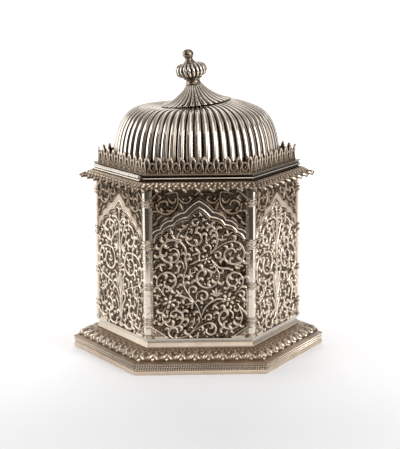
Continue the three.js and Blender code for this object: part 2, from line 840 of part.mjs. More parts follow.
function finialKnob() {
  const at = (radius, rise) => [radius, knobBottom + knobHeight * rise];
  return turned([
    [0, knobBottom + rodIntoKnob + seam],
    [boreRadius, knobBottom + rodIntoKnob + seam],
    [boreRadius, knobBottom],
    at(knobNeck * 1.3, 0),
    at(knobNeck * 1.44, 0.1),
    at(knobNeck * 1.06, 0.24),
    at(knobNeck * 1.16, 0.38),
    at(knobRadius * 0.88, 0.48),
    at(knobRadius, 0.64),
    at(knobRadius * 0.84, 0.84),
    at(knobRadius * 0.42, 0.97),
    [0, knobTop],
  ], 16, false);
}

function finialRod() {
  const bottom = nutBottom - rodTail;
  return turned([
    [0, bottom],
    [rodRadius * 0.8, bottom],
    [rodRadius, bottom + rodRadius * 0.3],
    [rodRadius, knobBottom + rodIntoKnob],
    [0, knobBottom + rodIntoKnob],
  ], 16, false);
}

const washerTop = -(sheet + crownFluteDepth + seam);
const washerBottom = washerTop - washerThickness;
const nutTop = washerBottom - seam;
const nutBottom = nutTop - nutHeight;

function ringBetween(radius, bottom, top, segments) {
  return turned([[boreRadius, bottom], [radius, bottom], [radius, top], [boreRadius, top]], segments);
}

add('spire', spire(), 'polished', finial);
add('finial_neck', finialNeck(), 'polished', finial);
add('finial_bulb', finialBulb(), 'polished', finial);
add('finial_knob', finialKnob(), 'polished', finial);
add('finial_rod', finialRod(), 'inside', finial);
add('finial_washer', ringBetween(washerRadius, washerBottom, washerTop, 24), 'inside', finial);
add('finial_nut', ringBetween(nutFlats / 2 / Math.cos(halfAngle), nutBottom, nutTop, sides), 'inside', finial);

export default box;
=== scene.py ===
import math
import random
import bmesh
import bpy
import numpy as np
from mathutils import Matrix, Vector


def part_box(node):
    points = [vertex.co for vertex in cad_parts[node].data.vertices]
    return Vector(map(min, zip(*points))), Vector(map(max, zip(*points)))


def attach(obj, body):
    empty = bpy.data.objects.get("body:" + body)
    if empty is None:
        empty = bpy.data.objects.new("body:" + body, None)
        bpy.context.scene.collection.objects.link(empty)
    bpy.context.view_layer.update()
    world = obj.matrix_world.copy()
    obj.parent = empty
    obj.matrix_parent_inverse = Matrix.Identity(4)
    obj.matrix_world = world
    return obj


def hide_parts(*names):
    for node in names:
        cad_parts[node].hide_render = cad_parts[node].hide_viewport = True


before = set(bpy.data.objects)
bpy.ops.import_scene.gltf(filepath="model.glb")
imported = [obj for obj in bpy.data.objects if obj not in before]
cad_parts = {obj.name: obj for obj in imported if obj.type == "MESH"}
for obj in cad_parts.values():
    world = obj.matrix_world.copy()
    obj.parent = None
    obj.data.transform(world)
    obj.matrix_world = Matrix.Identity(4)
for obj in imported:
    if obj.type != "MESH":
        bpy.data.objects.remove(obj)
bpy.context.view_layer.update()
mm = 0.001
sideCount = 6
halfAngle = math.pi / sideCount
sideNames = ["front", "front_right", "back_right", "back", "back_left", "front_left"]

# Levels and apothems, read off the frame
wallApothem = -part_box("body_rim")[0].y
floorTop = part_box("base_plate")[1].z
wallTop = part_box("body_rim")[0].z
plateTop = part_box("lid_plate")[1].z
print("frame loaded")


# Camera, where the photograph was taken from: metres, degrees, and millimetres for the lens
camera = {
    "distance": 0.8381, "azimuth": -1.0967, "elevation": 10.929, "roll": -0.4548,
    "aimRight": 0.00143, "aimUp": 0.0682, "lens": 122.06, "sensor": 36, "clipStart": 0.01,
}


def addCamera(spec):
    azimuth, elevation, roll = (math.radians(spec[k]) for k in ("azimuth", "elevation", "roll"))
    back = Vector((
        math.sin(azimuth) * math.cos(elevation),
        -math.cos(azimuth) * math.cos(elevation),
        math.sin(elevation),
    ))
    aim = Vector((
        spec["aimRight"] * math.cos(azimuth),
        spec["aimRight"] * math.sin(azimuth),
        spec["aimUp"],
    ))
    right = (-back).cross(Vector((0, 0, 1))).normalized()
    up = right.cross(-back)
    tiltedRight = right * math.cos(roll) + up * math.sin(roll)
    tiltedUp = up * math.cos(roll) - right * math.sin(roll)
    data = bpy.data.cameras.new("camera")
    data.lens = spec["lens"]
    data.sensor_width = spec["sensor"]
    data.clip_start = spec["clipStart"]
    eye = bpy.data.objects.new("camera", data)
    turn = Matrix((tiltedRight, tiltedUp, back)).transposed().to_4x4()
    eye.matrix_world = Matrix.Translation(aim + back * spec["distance"]) @ turn
    bpy.context.scene.collection.objects.link(eye)
    bpy.context.scene.camera = eye


addCamera(camera)


# Soft studio: boxes of light left, right and above, a white sweep, and dark and glowing cards that only the metal
# mirrors, which paint dark and bright reflections in it
studio = {
    "lamps": [
        {"name": "leftSoftbox", "at": (-1.05, 0.1, 0.42), "size": (0.7, 0.8), "watts": 2.9},
        {"name": "rightSoftbox", "at": (0.66, -0.62, 0.34), "size": (0.24, 0.7), "watts": 3.6},
        {"name": "topSoftbox", "at": (-0.15, -0.05, 1.1), "size": (0.5, 0.5), "watts": 1.8, "unseen": True},
        {"name": "backSoftbox", "at": (-0.05, 1.1, 0.8), "size": (0.9, 0.4), "watts": 8, "unseen": True},
    ],
    "lampAim": (0, 0, 0.08),
    "worldGrey": 0.4, "worldSeen": 1.0, "worldTint": (1, 0.98, 0.96, 1),
    "sweepHalf": 2.6, "sweepFront": 2.6, "sweepBack": 1.6, "sweepBend": 0.6, "bendSteps": 12,
    "floorColor": (0.8, 0.8, 0.81, 1),
    "floorLift": ((-0.15, 0.2), (0.35, 0.6)),  # y and glow: painted light, a glow seen only by the camera and in mirrors that grows towards the back
    "cardTint": (1, 0.88, 0.76), "glowTint": (1, 0.97, 0.93, 1), "panelShade": 0.03,
    "cards": [
        {"name": "darkTable", "shade": 0.03,
         "corners": [(-1.3, -0.28, 0.001), (1.3, -0.28, 0.001), (1.3, -1.3, 0.001), (-1.3, -1.3, 0.001)]},
        {"name": "darkRoom", "shade": 0.03,
         "corners": [(-1.15, -1.35, 0), (0.8, -1.35, 0), (0.8, -1.35, 1.2), (-1.15, -1.35, 1.2)]},
        {"name": "darkRight", "shade": 0.05,
         "corners": [(1.3, -0.1, 0), (1.3, 0.7, 0), (1.3, 0.7, 1), (1.3, -0.1, 1)]},
        {"name": "darkLeft", "shade": 0.03,
         "corners": [(-1.3, -1.3, 0), (-1.3, -0.42, 0), (-1.3, -0.42, 1.2), (-1.3, -1.3, 1.2)]},
        {"name": "overheadPanel", "shade": 0.25, "glow": 0.85,
         "corners": [(-0.2, -0.3, 1.3), (0.2, -0.3, 1.3), (0.2, 1.2, 1.3), (-0.2, 1.2, 1.3)]},
        {"name": "ceiling", "shade": 0.25, "glow": 0.16,
         "corners": [(-1.3, -1.3, 1.35), (1.3, -1.3, 1.35), (1.3, 1.3, 1.35), (-1.3, 1.3, 1.35)]},
    ],
    # a leaning panel of soft light before the box: x across, y and z up its slope, and the glow at each crossing
    "panelAcross": (-0.32, -0.1, 0.15, 0.42, 0.66),
    "panelSlope": ((-1.3, 0.0), (-1.2, 0.16), (-1.05, 0.45), (-0.6, 1.0), (-0.3, 1.28)),
    "panelGlow": (
        (0, 0, 0, 0, 0),
        (0, 0.2, 0.4, 0.2, 0),
        (0, 1.1, 1.5, 1.1, 0),
        (0, 1.1, 1.5, 1.1, 0),
        (0, 0.8, 1.3, 0.8, 0),
    ),
}


def addNode(nodes, kind, values=None, **settings):
    node = nodes.new(kind)
    for name, value in settings.items():
        setattr(node, name, value)
    for name, value in (values or {}).items():
        node.inputs[name].default_value = value
    return node


def newMaterial(name):
    material = bpy.data.materials.new(name)
    material.use_nodes = True
    return material, material.node_tree.nodes, material.node_tree.links


def addLamp(spec, aim):
    data = bpy.data.lights.new(spec["name"], "AREA")
    data.shape = "RECTANGLE"
    data.size, data.size_y = spec["size"]
    data.energy = spec["watts"]
    lamp = bpy.data.objects.new(spec["name"], data)
    lamp.location = spec["at"]
    toward = Vector(aim) - Vector(spec["at"])
    lamp.rotation_euler = toward.to_track_quat("-Z", "Y").to_euler()
    lamp.visible_glossy = not spec.get("unseen", False)
    bpy.context.scene.collection.objects.link(lamp)


# 1 for what the camera, a mirror or glass sees, and 0 for what only lights
def addSeenRays(nodes, links):
    path = nodes.new("ShaderNodeLightPath")
    seen = path.outputs["Is Camera Ray"]
    for name in ("Is Glossy Ray", "Is Transmission Ray"):
        either = addNode(nodes, "ShaderNodeMath", operation="MAXIMUM")
        links.new(seen, either.inputs[0])
        links.new(path.outputs[name], either.inputs[1])
        seen = either.outputs[0]
    return seen


def floorMaterial(spec):
    material, nodes, links = newMaterial("whiteSweep")
    nodes.clear()
    out = nodes.new("ShaderNodeOutputMaterial")
    paper = addNode(nodes, "ShaderNodeBsdfDiffuse", {"Color": spec["floorColor"]})
    place = nodes.new("ShaderNodeTexCoord")
    split = nodes.new("ShaderNodeSeparateXYZ")
    links.new(place.outputs["Object"], split.inputs[0])
    # Painted light: the glow grows from the near y to the far y
    (nearY, nearGlow), (farY, farGlow) = spec["floorLift"]
    away = addNode(nodes, "ShaderNodeMapRange", {
        "From Min": nearY, "From Max": farY, "To Min": nearGlow, "To Max": farGlow})
    links.new(split.outputs["Y"], away.inputs["Value"])
    strength = addNode(nodes, "ShaderNodeMath", operation="MULTIPLY")
    links.new(addSeenRays(nodes, links), strength.inputs[0])
    links.new(away.outputs["Result"], strength.inputs[1])
    lift = nodes.new("ShaderNodeEmission")
    links.new(strength.outputs[0], lift.inputs["Strength"])
    both = nodes.new("ShaderNodeAddShader")
    links.new(paper.outputs[0], both.inputs[0])
    links.new(lift.outputs[0], both.inputs[1])
    links.new(both.outputs[0], out.inputs["Surface"])
    return material


def addStaged(name, mesh, material):
    mesh.materials.append(material)
    thing = bpy.data.objects.new(name, mesh)
    bpy.context.scene.collection.objects.link(thing)
    return thing


def addSweep(spec):
    half, back, bend, steps = spec["sweepHalf"], spec["sweepBack"], spec["sweepBend"], spec["bendSteps"]
    line = [(-spec["sweepFront"], 0)]
    for i in range(steps + 1):
        angle = i / steps * math.pi / 2
        line.append((back - bend + bend * math.sin(angle), bend - bend * math.cos(angle)))
    line.append((back, half))
    points = [(x, y, z) for y, z in line for x in (-half, half)]
    faces = [(2 * i, 2 * i + 1, 2 * i + 3, 2 * i + 2) for i in range(len(line) - 1)]
    mesh = bpy.data.meshes.new("whiteSweep")
    mesh.from_pydata(points, [], faces)
    mesh.polygons.foreach_set("use_smooth", [True] * len(faces))
    addStaged("whiteSweep", mesh, floorMaterial(spec))


# A staged mesh that the metal mirrors and that neither the camera nor the floor sees
def addMirroredOnly(name, mesh, spec, shade, glow=0):
    material, nodes, _ = newMaterial(name)
    shader = nodes["Principled BSDF"]
    shader.inputs["Base Color"].default_value = (*(shade * part for part in spec["cardTint"]), 1)
    shader.inputs["Roughness"].default_value = 1
    shader.inputs["Emission Strength"].default_value = glow
    shader.inputs["Emission Color"].default_value = spec["glowTint"]
    thing = addStaged(name, mesh, material)
    thing.visible_camera = False
    thing.visible_diffuse = False
    thing.visible_shadow = False
    thing.visible_transmission = False
    return material


def addCards(spec):
    for card in spec["cards"]:
        mesh = bpy.data.meshes.new(card["name"])
        mesh.from_pydata(card["corners"], [], [(0, 1, 2, 3)])
        addMirroredOnly(card["name"], mesh, spec, card["shade"], card.get("glow", 0))


def addSoftPanel(spec):
    across, slope = spec["panelAcross"], spec["panelSlope"]
    points = [(x, y, z) for y, z in slope for x in across]
    count = len(across)
    faces = [(i * count + j, i * count + j + 1, (i + 1) * count + j + 1, (i + 1) * count + j)
             for i in range(len(slope) - 1) for j in range(count - 1)]
    mesh = bpy.data.meshes.new("softPanel")
    mesh.from_pydata(points, [], faces)
    layer = mesh.attributes.new("glow", "FLOAT", "POINT")
    layer.data.foreach_set("value", [glow for row in spec["panelGlow"] for glow in row])
    material = addMirroredOnly("softPanel", mesh, spec, spec["panelShade"])
    nodes, links = material.node_tree.nodes, material.node_tree.links
    glow = addNode(nodes, "ShaderNodeAttribute", attribute_name="glow")
    links.new(glow.outputs["Fac"], nodes["Principled BSDF"].inputs["Emission Strength"])


# Plain grey light, and white where the world is seen or mirrored
def setWorld(spec):
    world = bpy.data.worlds.new("studio")
    world.use_nodes = True
    nodes, links = world.node_tree.nodes, world.node_tree.links
    shader = nodes["Background"]
    shader.inputs["Color"].default_value = spec["worldTint"]
    level = addNode(nodes, "ShaderNodeMapRange", {"To Min": spec["worldGrey"], "To Max": spec["worldSeen"]})
    links.new(addSeenRays(nodes, links), level.inputs["Value"])
    links.new(level.outputs["Result"], shader.inputs["Strength"])
    bpy.context.scene.world = world


for lampSpec in studio["lamps"]:
    addLamp(lampSpec, studio["lampAim"])
addSweep(studio)
addCards(studio)
addSoftPanel(studio)
setWorld(studio)
bpy.context.scene.view_settings.view_transform = "Standard"
print("camera and studio done")


# Silver finishes. A level from 0, deep in the relief, to 1 and more, burnished, runs along three colours from patina
# to bright metal. On some pieces the level also carries painted shade. Cloudy tarnish shifts the level, and a fine
# grain roughens all
metal = {
    "cloudScale": 90, "cloudDetail": 5, "grainScale": 1400, "grainDetail": 3, "bumpDistance": 0.0002,
    "plainLevel": 0.8, "burnished": 1.3,
}
finishSpecs = {
    "carved": {
        "low": (0.018, 0.012, 0.008), "middle": (0.36, 0.272, 0.19), "high": (0.82, 0.71, 0.59),
        "stops": (0.0, 0.45, 0.9), "rough": 0.04, "lowRough": 0.6, "cloud": 0.26, "bump": 0.12,
    },
    "plain": {
        "low": (0.16, 0.115, 0.08), "middle": (0.56, 0.47, 0.38), "high": (0.86, 0.77, 0.66),
        "stops": (0.0, 0.4, 0.8), "rough": 0.03, "lowRough": 0.36, "cloud": 0.34, "bump": 0.04,
    },
    "polished": {
        "low": (0.014, 0.01, 0.008), "middle": (0.3, 0.245, 0.195), "high": (0.88, 0.81, 0.72),
        "stops": (0.08, 0.46, 0.84), "rough": 0.02, "lowRough": 0.27, "cloud": 0.2, "bump": 0.02,
    },
    "footRim": {
        "low": (0.2, 0.13, 0.08), "middle": (0.5, 0.385, 0.28), "high": (0.74, 0.62, 0.49),
        "stops": (0.0, 0.45, 0.95), "rough": 0.16, "lowRough": 0.45, "cloud": 0.5, "bump": 0.15,
    },
    "footStep": {
        "low": (0.11, 0.072, 0.046), "middle": (0.27, 0.2, 0.145), "high": (0.5, 0.4, 0.31),
        "stops": (0.2, 0.7, 1.0), "rough": 0.2, "lowRough": 0.5, "cloud": 0.5, "bump": 0.2,
    },
    "inside": {
        "low": (0.3, 0.26, 0.21), "middle": (0.55, 0.5, 0.43), "high": (0.78, 0.73, 0.66),
        "stops": (0.0, 0.4, 0.9), "rough": 0.3, "lowRough": 0.5, "cloud": 0.35, "bump": 0.2,
    },
}


def levelByHeight(nodes, links, place, levels):
    split = nodes.new("ShaderNodeSeparateXYZ")
    links.new(place, split.inputs[0])
    bottom, top = levels[0][0], levels[-1][0]
    height = addNode(nodes, "ShaderNodeMapRange", {"From Min": bottom * mm, "From Max": top * mm})
    links.new(split.outputs["Z"], height.inputs["Value"])
    steps = nodes.new("ShaderNodeValToRGB")
    links.new(height.outputs["Result"], steps.inputs["Fac"])
    for z, _ in levels[1:-1]:
        steps.color_ramp.elements.new((z - bottom) / (top - bottom))
    for element, (_, value) in zip(steps.color_ramp.elements, levels):
        element.color = (value, value, value, 1)
    return steps.outputs["Color"]


# The level comes from the mesh's relief, or from heights in millimetres with the level at each, or is plain
def silver(name, spec, fromRelief=False, levels=()):
    material, nodes, links = newMaterial(name)
    shader = nodes["Principled BSDF"]
    shader.inputs["Metallic"].default_value = 1.0
    place = nodes.new("ShaderNodeTexCoord").outputs["Object"]
    cloud, grain = (
        addNode(nodes, "ShaderNodeTexNoise", {"Scale": metal[kind + "Scale"], "Detail": metal[kind + "Detail"]})
        for kind in ("cloud", "grain"))
    links.new(place, cloud.inputs["Vector"])
    links.new(place, grain.inputs["Vector"])
    scatter = addNode(nodes, "ShaderNodeMath", {1: spec["cloud"], 2: -spec["cloud"] * 0.5}, operation="MULTIPLY_ADD")
    links.new(cloud.outputs["Fac"], scatter.inputs[0])
    level = addNode(nodes, "ShaderNodeMath", operation="ADD")
    links.new(scatter.outputs[0], level.inputs[0])
    if fromRelief:
        relief = addNode(nodes, "ShaderNodeAttribute", attribute_name="relief")
        links.new(relief.outputs["Fac"], level.inputs[1])
    elif levels:
        links.new(levelByHeight(nodes, links, place, levels), level.inputs[1])
    else:
        level.inputs[1].default_value = metal["plainLevel"]
    ramp = nodes.new("ShaderNodeValToRGB")
    elements = ramp.color_ramp.elements
    elements[0].position, elements[1].position = spec["stops"][0], spec["stops"][2]
    elements.new(spec["stops"][1])
    for element, shade in zip(elements, ("low", "middle", "high")):
        element.color = (*spec[shade], 1)
    links.new(level.outputs[0], ramp.inputs["Fac"])
    links.new(ramp.outputs["Color"], shader.inputs["Base Color"])
    rough = addNode(nodes, "ShaderNodeMapRange", {
        "From Max": metal["burnished"], "To Min": spec["lowRough"], "To Max": spec["rough"]})
    links.new(level.outputs[0], rough.inputs["Value"])
    links.new(rough.outputs["Result"], shader.inputs["Roughness"])
    bump = addNode(nodes, "ShaderNodeBump", {"Strength": spec["bump"], "Distance": metal["bumpDistance"]})
    links.new(grain.outputs["Fac"], bump.inputs["Height"])
    links.new(bump.outputs["Normal"], shader.inputs["Normal"])
    return material


carvedSilver = silver("carvedSilver", finishSpecs["carved"], True)
flutedSilver = silver("flutedSilver", finishSpecs["polished"], True)
pilasterSilver = silver("pilasterSilver", finishSpecs["plain"], True)
brightSilver = silver("brightSilver", finishSpecs["polished"])
# Lid rim: painted shade by height, near black at its foot over the gap above the body and in its hollow, and darker
# than plain metal above
lidRimShadedSilver = silver("lidRimShadedSilver", finishSpecs["polished"], levels=(
    (100.8, 0), (101.5, 0.02), (101.7, 0.6), (102.1, 0.6), (102.2, 0.02), (102.8, 0.08), (103.2, 0.32), (104, 0.36)))
# Body rim: painted shade, near black up to 100.5 mm, in the gap under the lid rim
bodyRimShadedSilver = silver("bodyRimShadedSilver", finishSpecs["footStep"], levels=((99.9, 0), (100.5, 0), (100.6, 0.7)))
footRimSilver = silver("footRimSilver", finishSpecs["footRim"])
footStepSilver = silver("footStepSilver", finishSpecs["footStep"])
insideSilver = silver("insideSilver", finishSpecs["inside"])
print("finishes done")


# Meshes from grids, and Geometry Nodes for the copies round the axis
def copiesRoundAxis():
    tree = bpy.data.node_groups.new("copiesRoundAxis", "GeometryNodeTree")
    tree.interface.new_socket("Geometry", in_out="INPUT", socket_type="NodeSocketGeometry")
    copies = tree.interface.new_socket("Copies", in_out="INPUT", socket_type="NodeSocketInt")
    finish = tree.interface.new_socket("Finish", in_out="INPUT", socket_type="NodeSocketMaterial")
    tree.interface.new_socket("Geometry", in_out="OUTPUT", socket_type="NodeSocketGeometry")
    nodes, links = tree.nodes, tree.links
    groupIn = nodes.new("NodeGroupInput")
    groupOut = nodes.new("NodeGroupOutput")
    line = addNode(nodes, "GeometryNodeMeshLine", {"Offset": (0, 0, 0)})
    links.new(groupIn.outputs["Copies"], line.inputs["Count"])
    step = addNode(nodes, "ShaderNodeMath", {0: 2 * math.pi}, operation="DIVIDE")
    links.new(groupIn.outputs["Copies"], step.inputs[1])
    angle = addNode(nodes, "ShaderNodeMath", operation="MULTIPLY")
    links.new(nodes.new("GeometryNodeInputIndex").outputs[0], angle.inputs[0])
    links.new(step.outputs[0], angle.inputs[1])
    turn = nodes.new("ShaderNodeCombineXYZ")
    links.new(angle.outputs[0], turn.inputs["Z"])
    place = nodes.new("GeometryNodeInstanceOnPoints")
    links.new(line.outputs["Mesh"], place.inputs["Points"])
    links.new(groupIn.outputs["Geometry"], place.inputs["Instance"])
    links.new(turn.outputs[0], place.inputs["Rotation"])
    real = nodes.new("GeometryNodeRealizeInstances")
    links.new(place.outputs[0], real.inputs[0])
    paint = nodes.new("GeometryNodeSetMaterial")
    links.new(real.outputs[0], paint.inputs["Geometry"])
    links.new(groupIn.outputs["Finish"], paint.inputs["Material"])
    links.new(paint.outputs[0], groupOut.inputs[0])
    return tree, copies.identifier, finish.identifier


roundTree, copiesSocket, finishSocket = copiesRoundAxis()


def gridFaces(rows, columns, start=0, flip=False):
    at = np.arange(rows * columns).reshape(rows, columns) + start
    quads = np.stack([at[:-1, :-1], at[:-1, 1:], at[1:, 1:], at[1:, :-1]], -1).reshape(-1, 4)
    return (quads[:, ::-1] if flip else quads).tolist()


def rimFaces(front, back):
    count = len(front)
    return [(front[i], front[(i + 1) % count], back[(i + 1) % count], back[i]) for i in range(count)]


def edgeLoop(rows, columns):
    at = np.arange(rows * columns).reshape(rows, columns)
    return list(at[0, :-1]) + list(at[:-1, -1]) + list(at[-1, :0:-1]) + list(at[:0:-1, 0])


# Sheet with its front drawn finely and its back as one flat face, which has a level of its own
def sheetMesh(name, front, back, relief, behind=0.3):
    rows, columns = front.shape[:2]
    loop = [int(i) for i in edgeLoop(rows, columns)]
    backPoints = back.reshape(-1, 3)[loop]
    points = np.concatenate([front.reshape(-1, 3), backPoints])
    first = rows * columns
    backLoop = list(range(first, first + len(loop)))
    faces = gridFaces(rows, columns) + rimFaces(loop, backLoop) + [tuple(backLoop[::-1])]
    values = np.concatenate([relief.reshape(-1), np.full(len(loop), behind)])
    return plainMesh(name, points, faces, values)


def plainMesh(name, points, faces, relief):
    mesh = bpy.data.meshes.new(name)
    mesh.from_pydata(points.tolist(), [], [tuple(f) for f in faces])
    layer = mesh.attributes.new("relief", "FLOAT", "POINT")
    layer.data.foreach_set("value", np.asarray(relief, np.float32))
    return mesh


def tidyMesh(mesh, weld):
    work = bmesh.new()
    work.from_mesh(mesh)
    if weld:
        bmesh.ops.remove_doubles(work, verts=work.verts, dist=weld)
    bmesh.ops.recalc_face_normals(work, faces=work.faces)
    work.to_mesh(mesh)
    work.free()
    mesh.polygons.foreach_set("use_smooth", [True] * len(mesh.polygons))


def addPiece(name, mesh, material, body, replaced, weld=0):
    tidyMesh(mesh, weld)
    if not mesh.materials:
        mesh.materials.append(material)
    piece = bpy.data.objects.new(name, mesh)
    bpy.context.scene.collection.objects.link(piece)
    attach(piece, body)
    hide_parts(*replaced)
    print(name, len(mesh.polygons), "faces")
    return piece


def repeated(name, mesh, copies, material):
    motif = bpy.data.objects.new(name, mesh)
    bpy.context.scene.collection.objects.link(motif)
    modifier = motif.modifiers.new("copies", "NODES")
    modifier.node_group = roundTree
    modifier[copiesSocket] = copies
    modifier[finishSocket] = material
    bpy.context.view_layer.update()
    graph = bpy.context.evaluated_depsgraph_get()
    whole = bpy.data.meshes.new_from_object(motif.evaluated_get(graph))
    motif.modifiers.remove(modifier)
    bpy.data.objects.remove(motif)
    return whole


def turnPoints(points, angle):
    cos, sin = math.cos(angle), math.sin(angle)
    x, y, z = points[..., 0], points[..., 1], points[..., 2]
    return np.stack([x * cos - y * sin, x * sin + y * cos, z], -1)


def smoothStep(low, high, value):
    t = np.clip((value - low) / (high - low), 0, 1)
    return t * t * (3 - 2 * t)


# Carving: stems and leaves are raised on a field of heights, in millimetres across the panel and up from its foot.
# Heights and widths of the single marks are shares of the relief and of the mark
lineStep = 0.45
carving = {
    "step": 0.222, "relief": 0.95, "wall": 0.9, "edgeGap": 0.1, "topFade": 1.2, "seed": 11,
    "stem": 0.52, "stemSwell": (0.62, 0.75, 1.3), "head": 0.85, "groove": 0.34, "grooveNarrow": 2.6,
    "leafEvery": 3.8, "leafLengths": (4.2, 3.2, 2.3), "leafRoom": 0.6, "leafSpread": (0.35, 0.7),
    "leafBend": (1.9, 2.7), "leafFat": (0.22, 0.13),
    "comma": {"tip": 0.18, "height": 0.85, "head": 0.9, "headHeight": 0.95},
    "rosette": {"petals": 6, "turn": 0.3, "heart": 0.4, "from": 0.68, "wide": 0.29, "height": 0.9},
    "palmette": {"spread": 0.75, "shorter": 0.22, "bend": 0.7, "fat": 0.13},
    # room round a leaf, its length, and the number of tries
    "fills": [(1.6, 3.0, 1500), (1.15, 2.1, 2200), (0.8, 1.3, 1600)],
    "fill": {"margin": 0.8, "lobedAbove": 2, "lobeTurn": 0.9, "lobeSize": 0.62, "lobeBend": 0.9, "size": 0.8,
             "bend": 0.8, "back": 0.35, "fat": (0.14, 0.1)},
    "bandHeight": 0.3, "bandMargin": 0.3, "rim": 0.32, "rimHeight": 0.85,
    # lines along the arch: 0 inner or 1 outer, how far above it, and width
    "archLines": ((0, 0, 1), (1, 0, 0.8), (0, -1.35, 0.7), (1, 1.3, 0.7)),
    "spandrelShadow": 0.4, "spandrelStem": 0.85, "spandrelLeaf": 0.62,
    "bright": 0.9, "shadeDark": 0.8, "shadeReach": 6,
    "dents": 0.3, "dentDepth": 0.12, "dentReach": 2, "dentBelow": (0.3, 0.05),
}


class CarvedField:
    edgeRoom = 0.3
    bareBelow = 0.05

    def __init__(self, half, high, step):
        self.xs = np.linspace(-half, half, int(2 * half / step))
        self.zs = np.linspace(0, high, int(high / step))
        self.height = np.zeros((len(self.zs), len(self.xs)))

    def window(self, low, high, reach):
        i0, i1 = np.searchsorted(self.xs, (low[0] - reach, high[0] + reach))
        j0, j1 = np.searchsorted(self.zs, (low[1] - reach, high[1] + reach))
        return slice(j0, j1), slice(i0, i1)

    def stroke(self, points, widths, height, groove=0.0):
        points = np.asarray(points, float)
        for k in range(len(points) - 1):
            a, b, width = points[k], points[k + 1], widths[k]
            rows, columns = self.window(np.minimum(a, b), np.maximum(a, b), width)
            part = self.height[rows, columns]
            if part.size == 0:
                continue
            gx, gz = np.meshgrid(self.xs[columns], self.zs[rows])
            along = b - a
            t = ((gx - a[0]) * along[0] + (gz - a[1]) * along[1]) / (along @ along + 1e-9)
            t = np.clip(t, 0, 1)
            away = np.hypot(gx - a[0] - t * along[0], gz - a[1] - t * along[1]) / width
            ridge = height * np.clip(1 - away ** 2, 0, 1) ** 0.6
            if groove:
                ridge = ridge - groove * height * np.clip(1 - away * carving["grooveNarrow"], 0, 1)
            self.height[rows, columns] = np.maximum(part, ridge)

    def dot(self, centre, radius, height):
        self.stroke([centre, (centre[0] + 0.01, centre[1])], [radius], height)

    def hasRoom(self, points, reach):
        edge = self.edgeRoom
        for x, z in points:
            if abs(x) > self.xs[-1] - edge or not self.zs[0] + edge < z < self.zs[-1] - edge:
                return False
            rows, columns = self.window((x, z), (x, z), reach)
            part = self.height[rows, columns]
            if part.size == 0 or part.max() > self.bareBelow:
                return False
        return True


# Smooth line through a few points, with a point about every lineStep
def bentLine(points):
    points = np.asarray(points, float)
    steps = int(np.hypot(*np.diff(points, axis=0).T).sum() / lineStep) + 3
    padded = np.vstack([2 * points[0] - points[1], points, 2 * points[-1] - points[-2]])
    out = []
    for value in np.linspace(0, len(points) - 1, steps):
        k = min(int(value), len(points) - 2)
        u = value - k
        p0, p1, p2, p3 = padded[k:k + 4]
        out.append(0.5 * (2 * p1 + (p2 - p0) * u + (2 * p0 - 5 * p1 + 4 * p2 - p3) * u * u
                          + (3 * p1 - p0 - 3 * p2 + p3) * u ** 3))
    return np.array(out)


# Curl round a centre: it starts at an angle in degrees, sweeps on, and its radius shrinks from the first number to
# the second. A stem's points, where there are some, lead into it
def curl(centre, radii, start, sweep, stem=()):
    turn = np.linspace(0, 1, 14)
    angle = np.radians(start + sweep * turn)
    radius = radii[0] + (radii[1] - radii[0]) * turn ** 1.5
    ring = np.stack([centre[0] + radius * np.cos(angle), centre[1] + radius * np.sin(angle)], -1)
    return list(stem) + [tuple(p) for p in ring]


def commaLine(root, angle, length, bend, steps=9):
    heading = angle + bend * np.linspace(0, 1, steps) ** 1.5
    step = length / steps
    return np.stack([
        root[0] + np.cumsum(np.cos(heading)) * step,
        root[1] + np.cumsum(np.sin(heading)) * step,
    ], -1)


# Leaf like a comma: thin at its root and round at its head
def carveComma(field, spec, line, fat):
    comma = spec["comma"]
    share = np.linspace(0, 1, len(line))
    widths = comma["tip"] + fat * np.sin(np.pi * np.clip(share * 0.9 + 0.05, 0, 1)) ** 0.8
    field.stroke(line, widths, spec["relief"] * comma["height"])
    field.dot(line[-1], fat * comma["head"], spec["relief"] * comma["headHeight"])


def carveStem(field, spec, points, wide=1.0):
    line = bentLine(points)
    share = np.linspace(0, 1, len(line))
    thin, swell, late = spec["stemSwell"]
    widths = spec["stem"] * wide * (thin + swell * np.sin(np.pi * share ** late))
    field.stroke(line, widths, spec["relief"], spec["groove"])
    field.dot(line[-1], spec["head"] * wide, spec["relief"])
    return line


def carveRosette(field, spec, centre, radius):
    rose = spec["rosette"]
    field.dot(centre, radius * rose["heart"], spec["relief"])
    for k in range(rose["petals"]):
        angle = (k + rose["turn"]) * 2 * math.pi / rose["petals"]
        out = np.array([math.cos(angle), math.sin(angle)])
        field.stroke([centre + out * radius * rose["from"], centre + out * radius],
                     [radius * rose["wide"]], spec["relief"] * rose["height"])


# Leaf of a few lobes that spread from its root
def carvePalmette(field, spec, root, heading, size, lobes):
    leaf = spec["palmette"]
    for k in range(lobes):
        side = (k - (lobes - 1) / 2) / max(1, (lobes - 1) / 2)
        angle = math.radians(heading) + leaf["spread"] * side
        line = commaLine(root, angle, size * (1 - leaf["shorter"] * abs(side)), leaf["bend"] * side)
        carveComma(field, spec, line, leaf["fat"] * size)


# Leaves that spring from a stem wherever there is room for them
def carveLeaves(field, spec, line, bold, rng):
    every = max(3, int(spec["leafEvery"] * bold / lineStep))
    least, more = spec["leafFat"]
    for k in range(every // 2, len(line) - 2, every):
        way = line[k + 1] - line[k - 1]
        heading = math.atan2(way[1], way[0])
        for hand in (-1, 1):
            spread, bend = rng.uniform(*spec["leafSpread"]), rng.uniform(*spec["leafBend"])
            for length in spec["leafLengths"]:
                leaf = commaLine(line[k], heading + hand * spread, length * bold, hand * bend)
                if field.hasRoom(leaf[4:], spec["leafRoom"] * bold):
                    carveComma(field, spec, leaf, bold * (least + more * length))
                    break


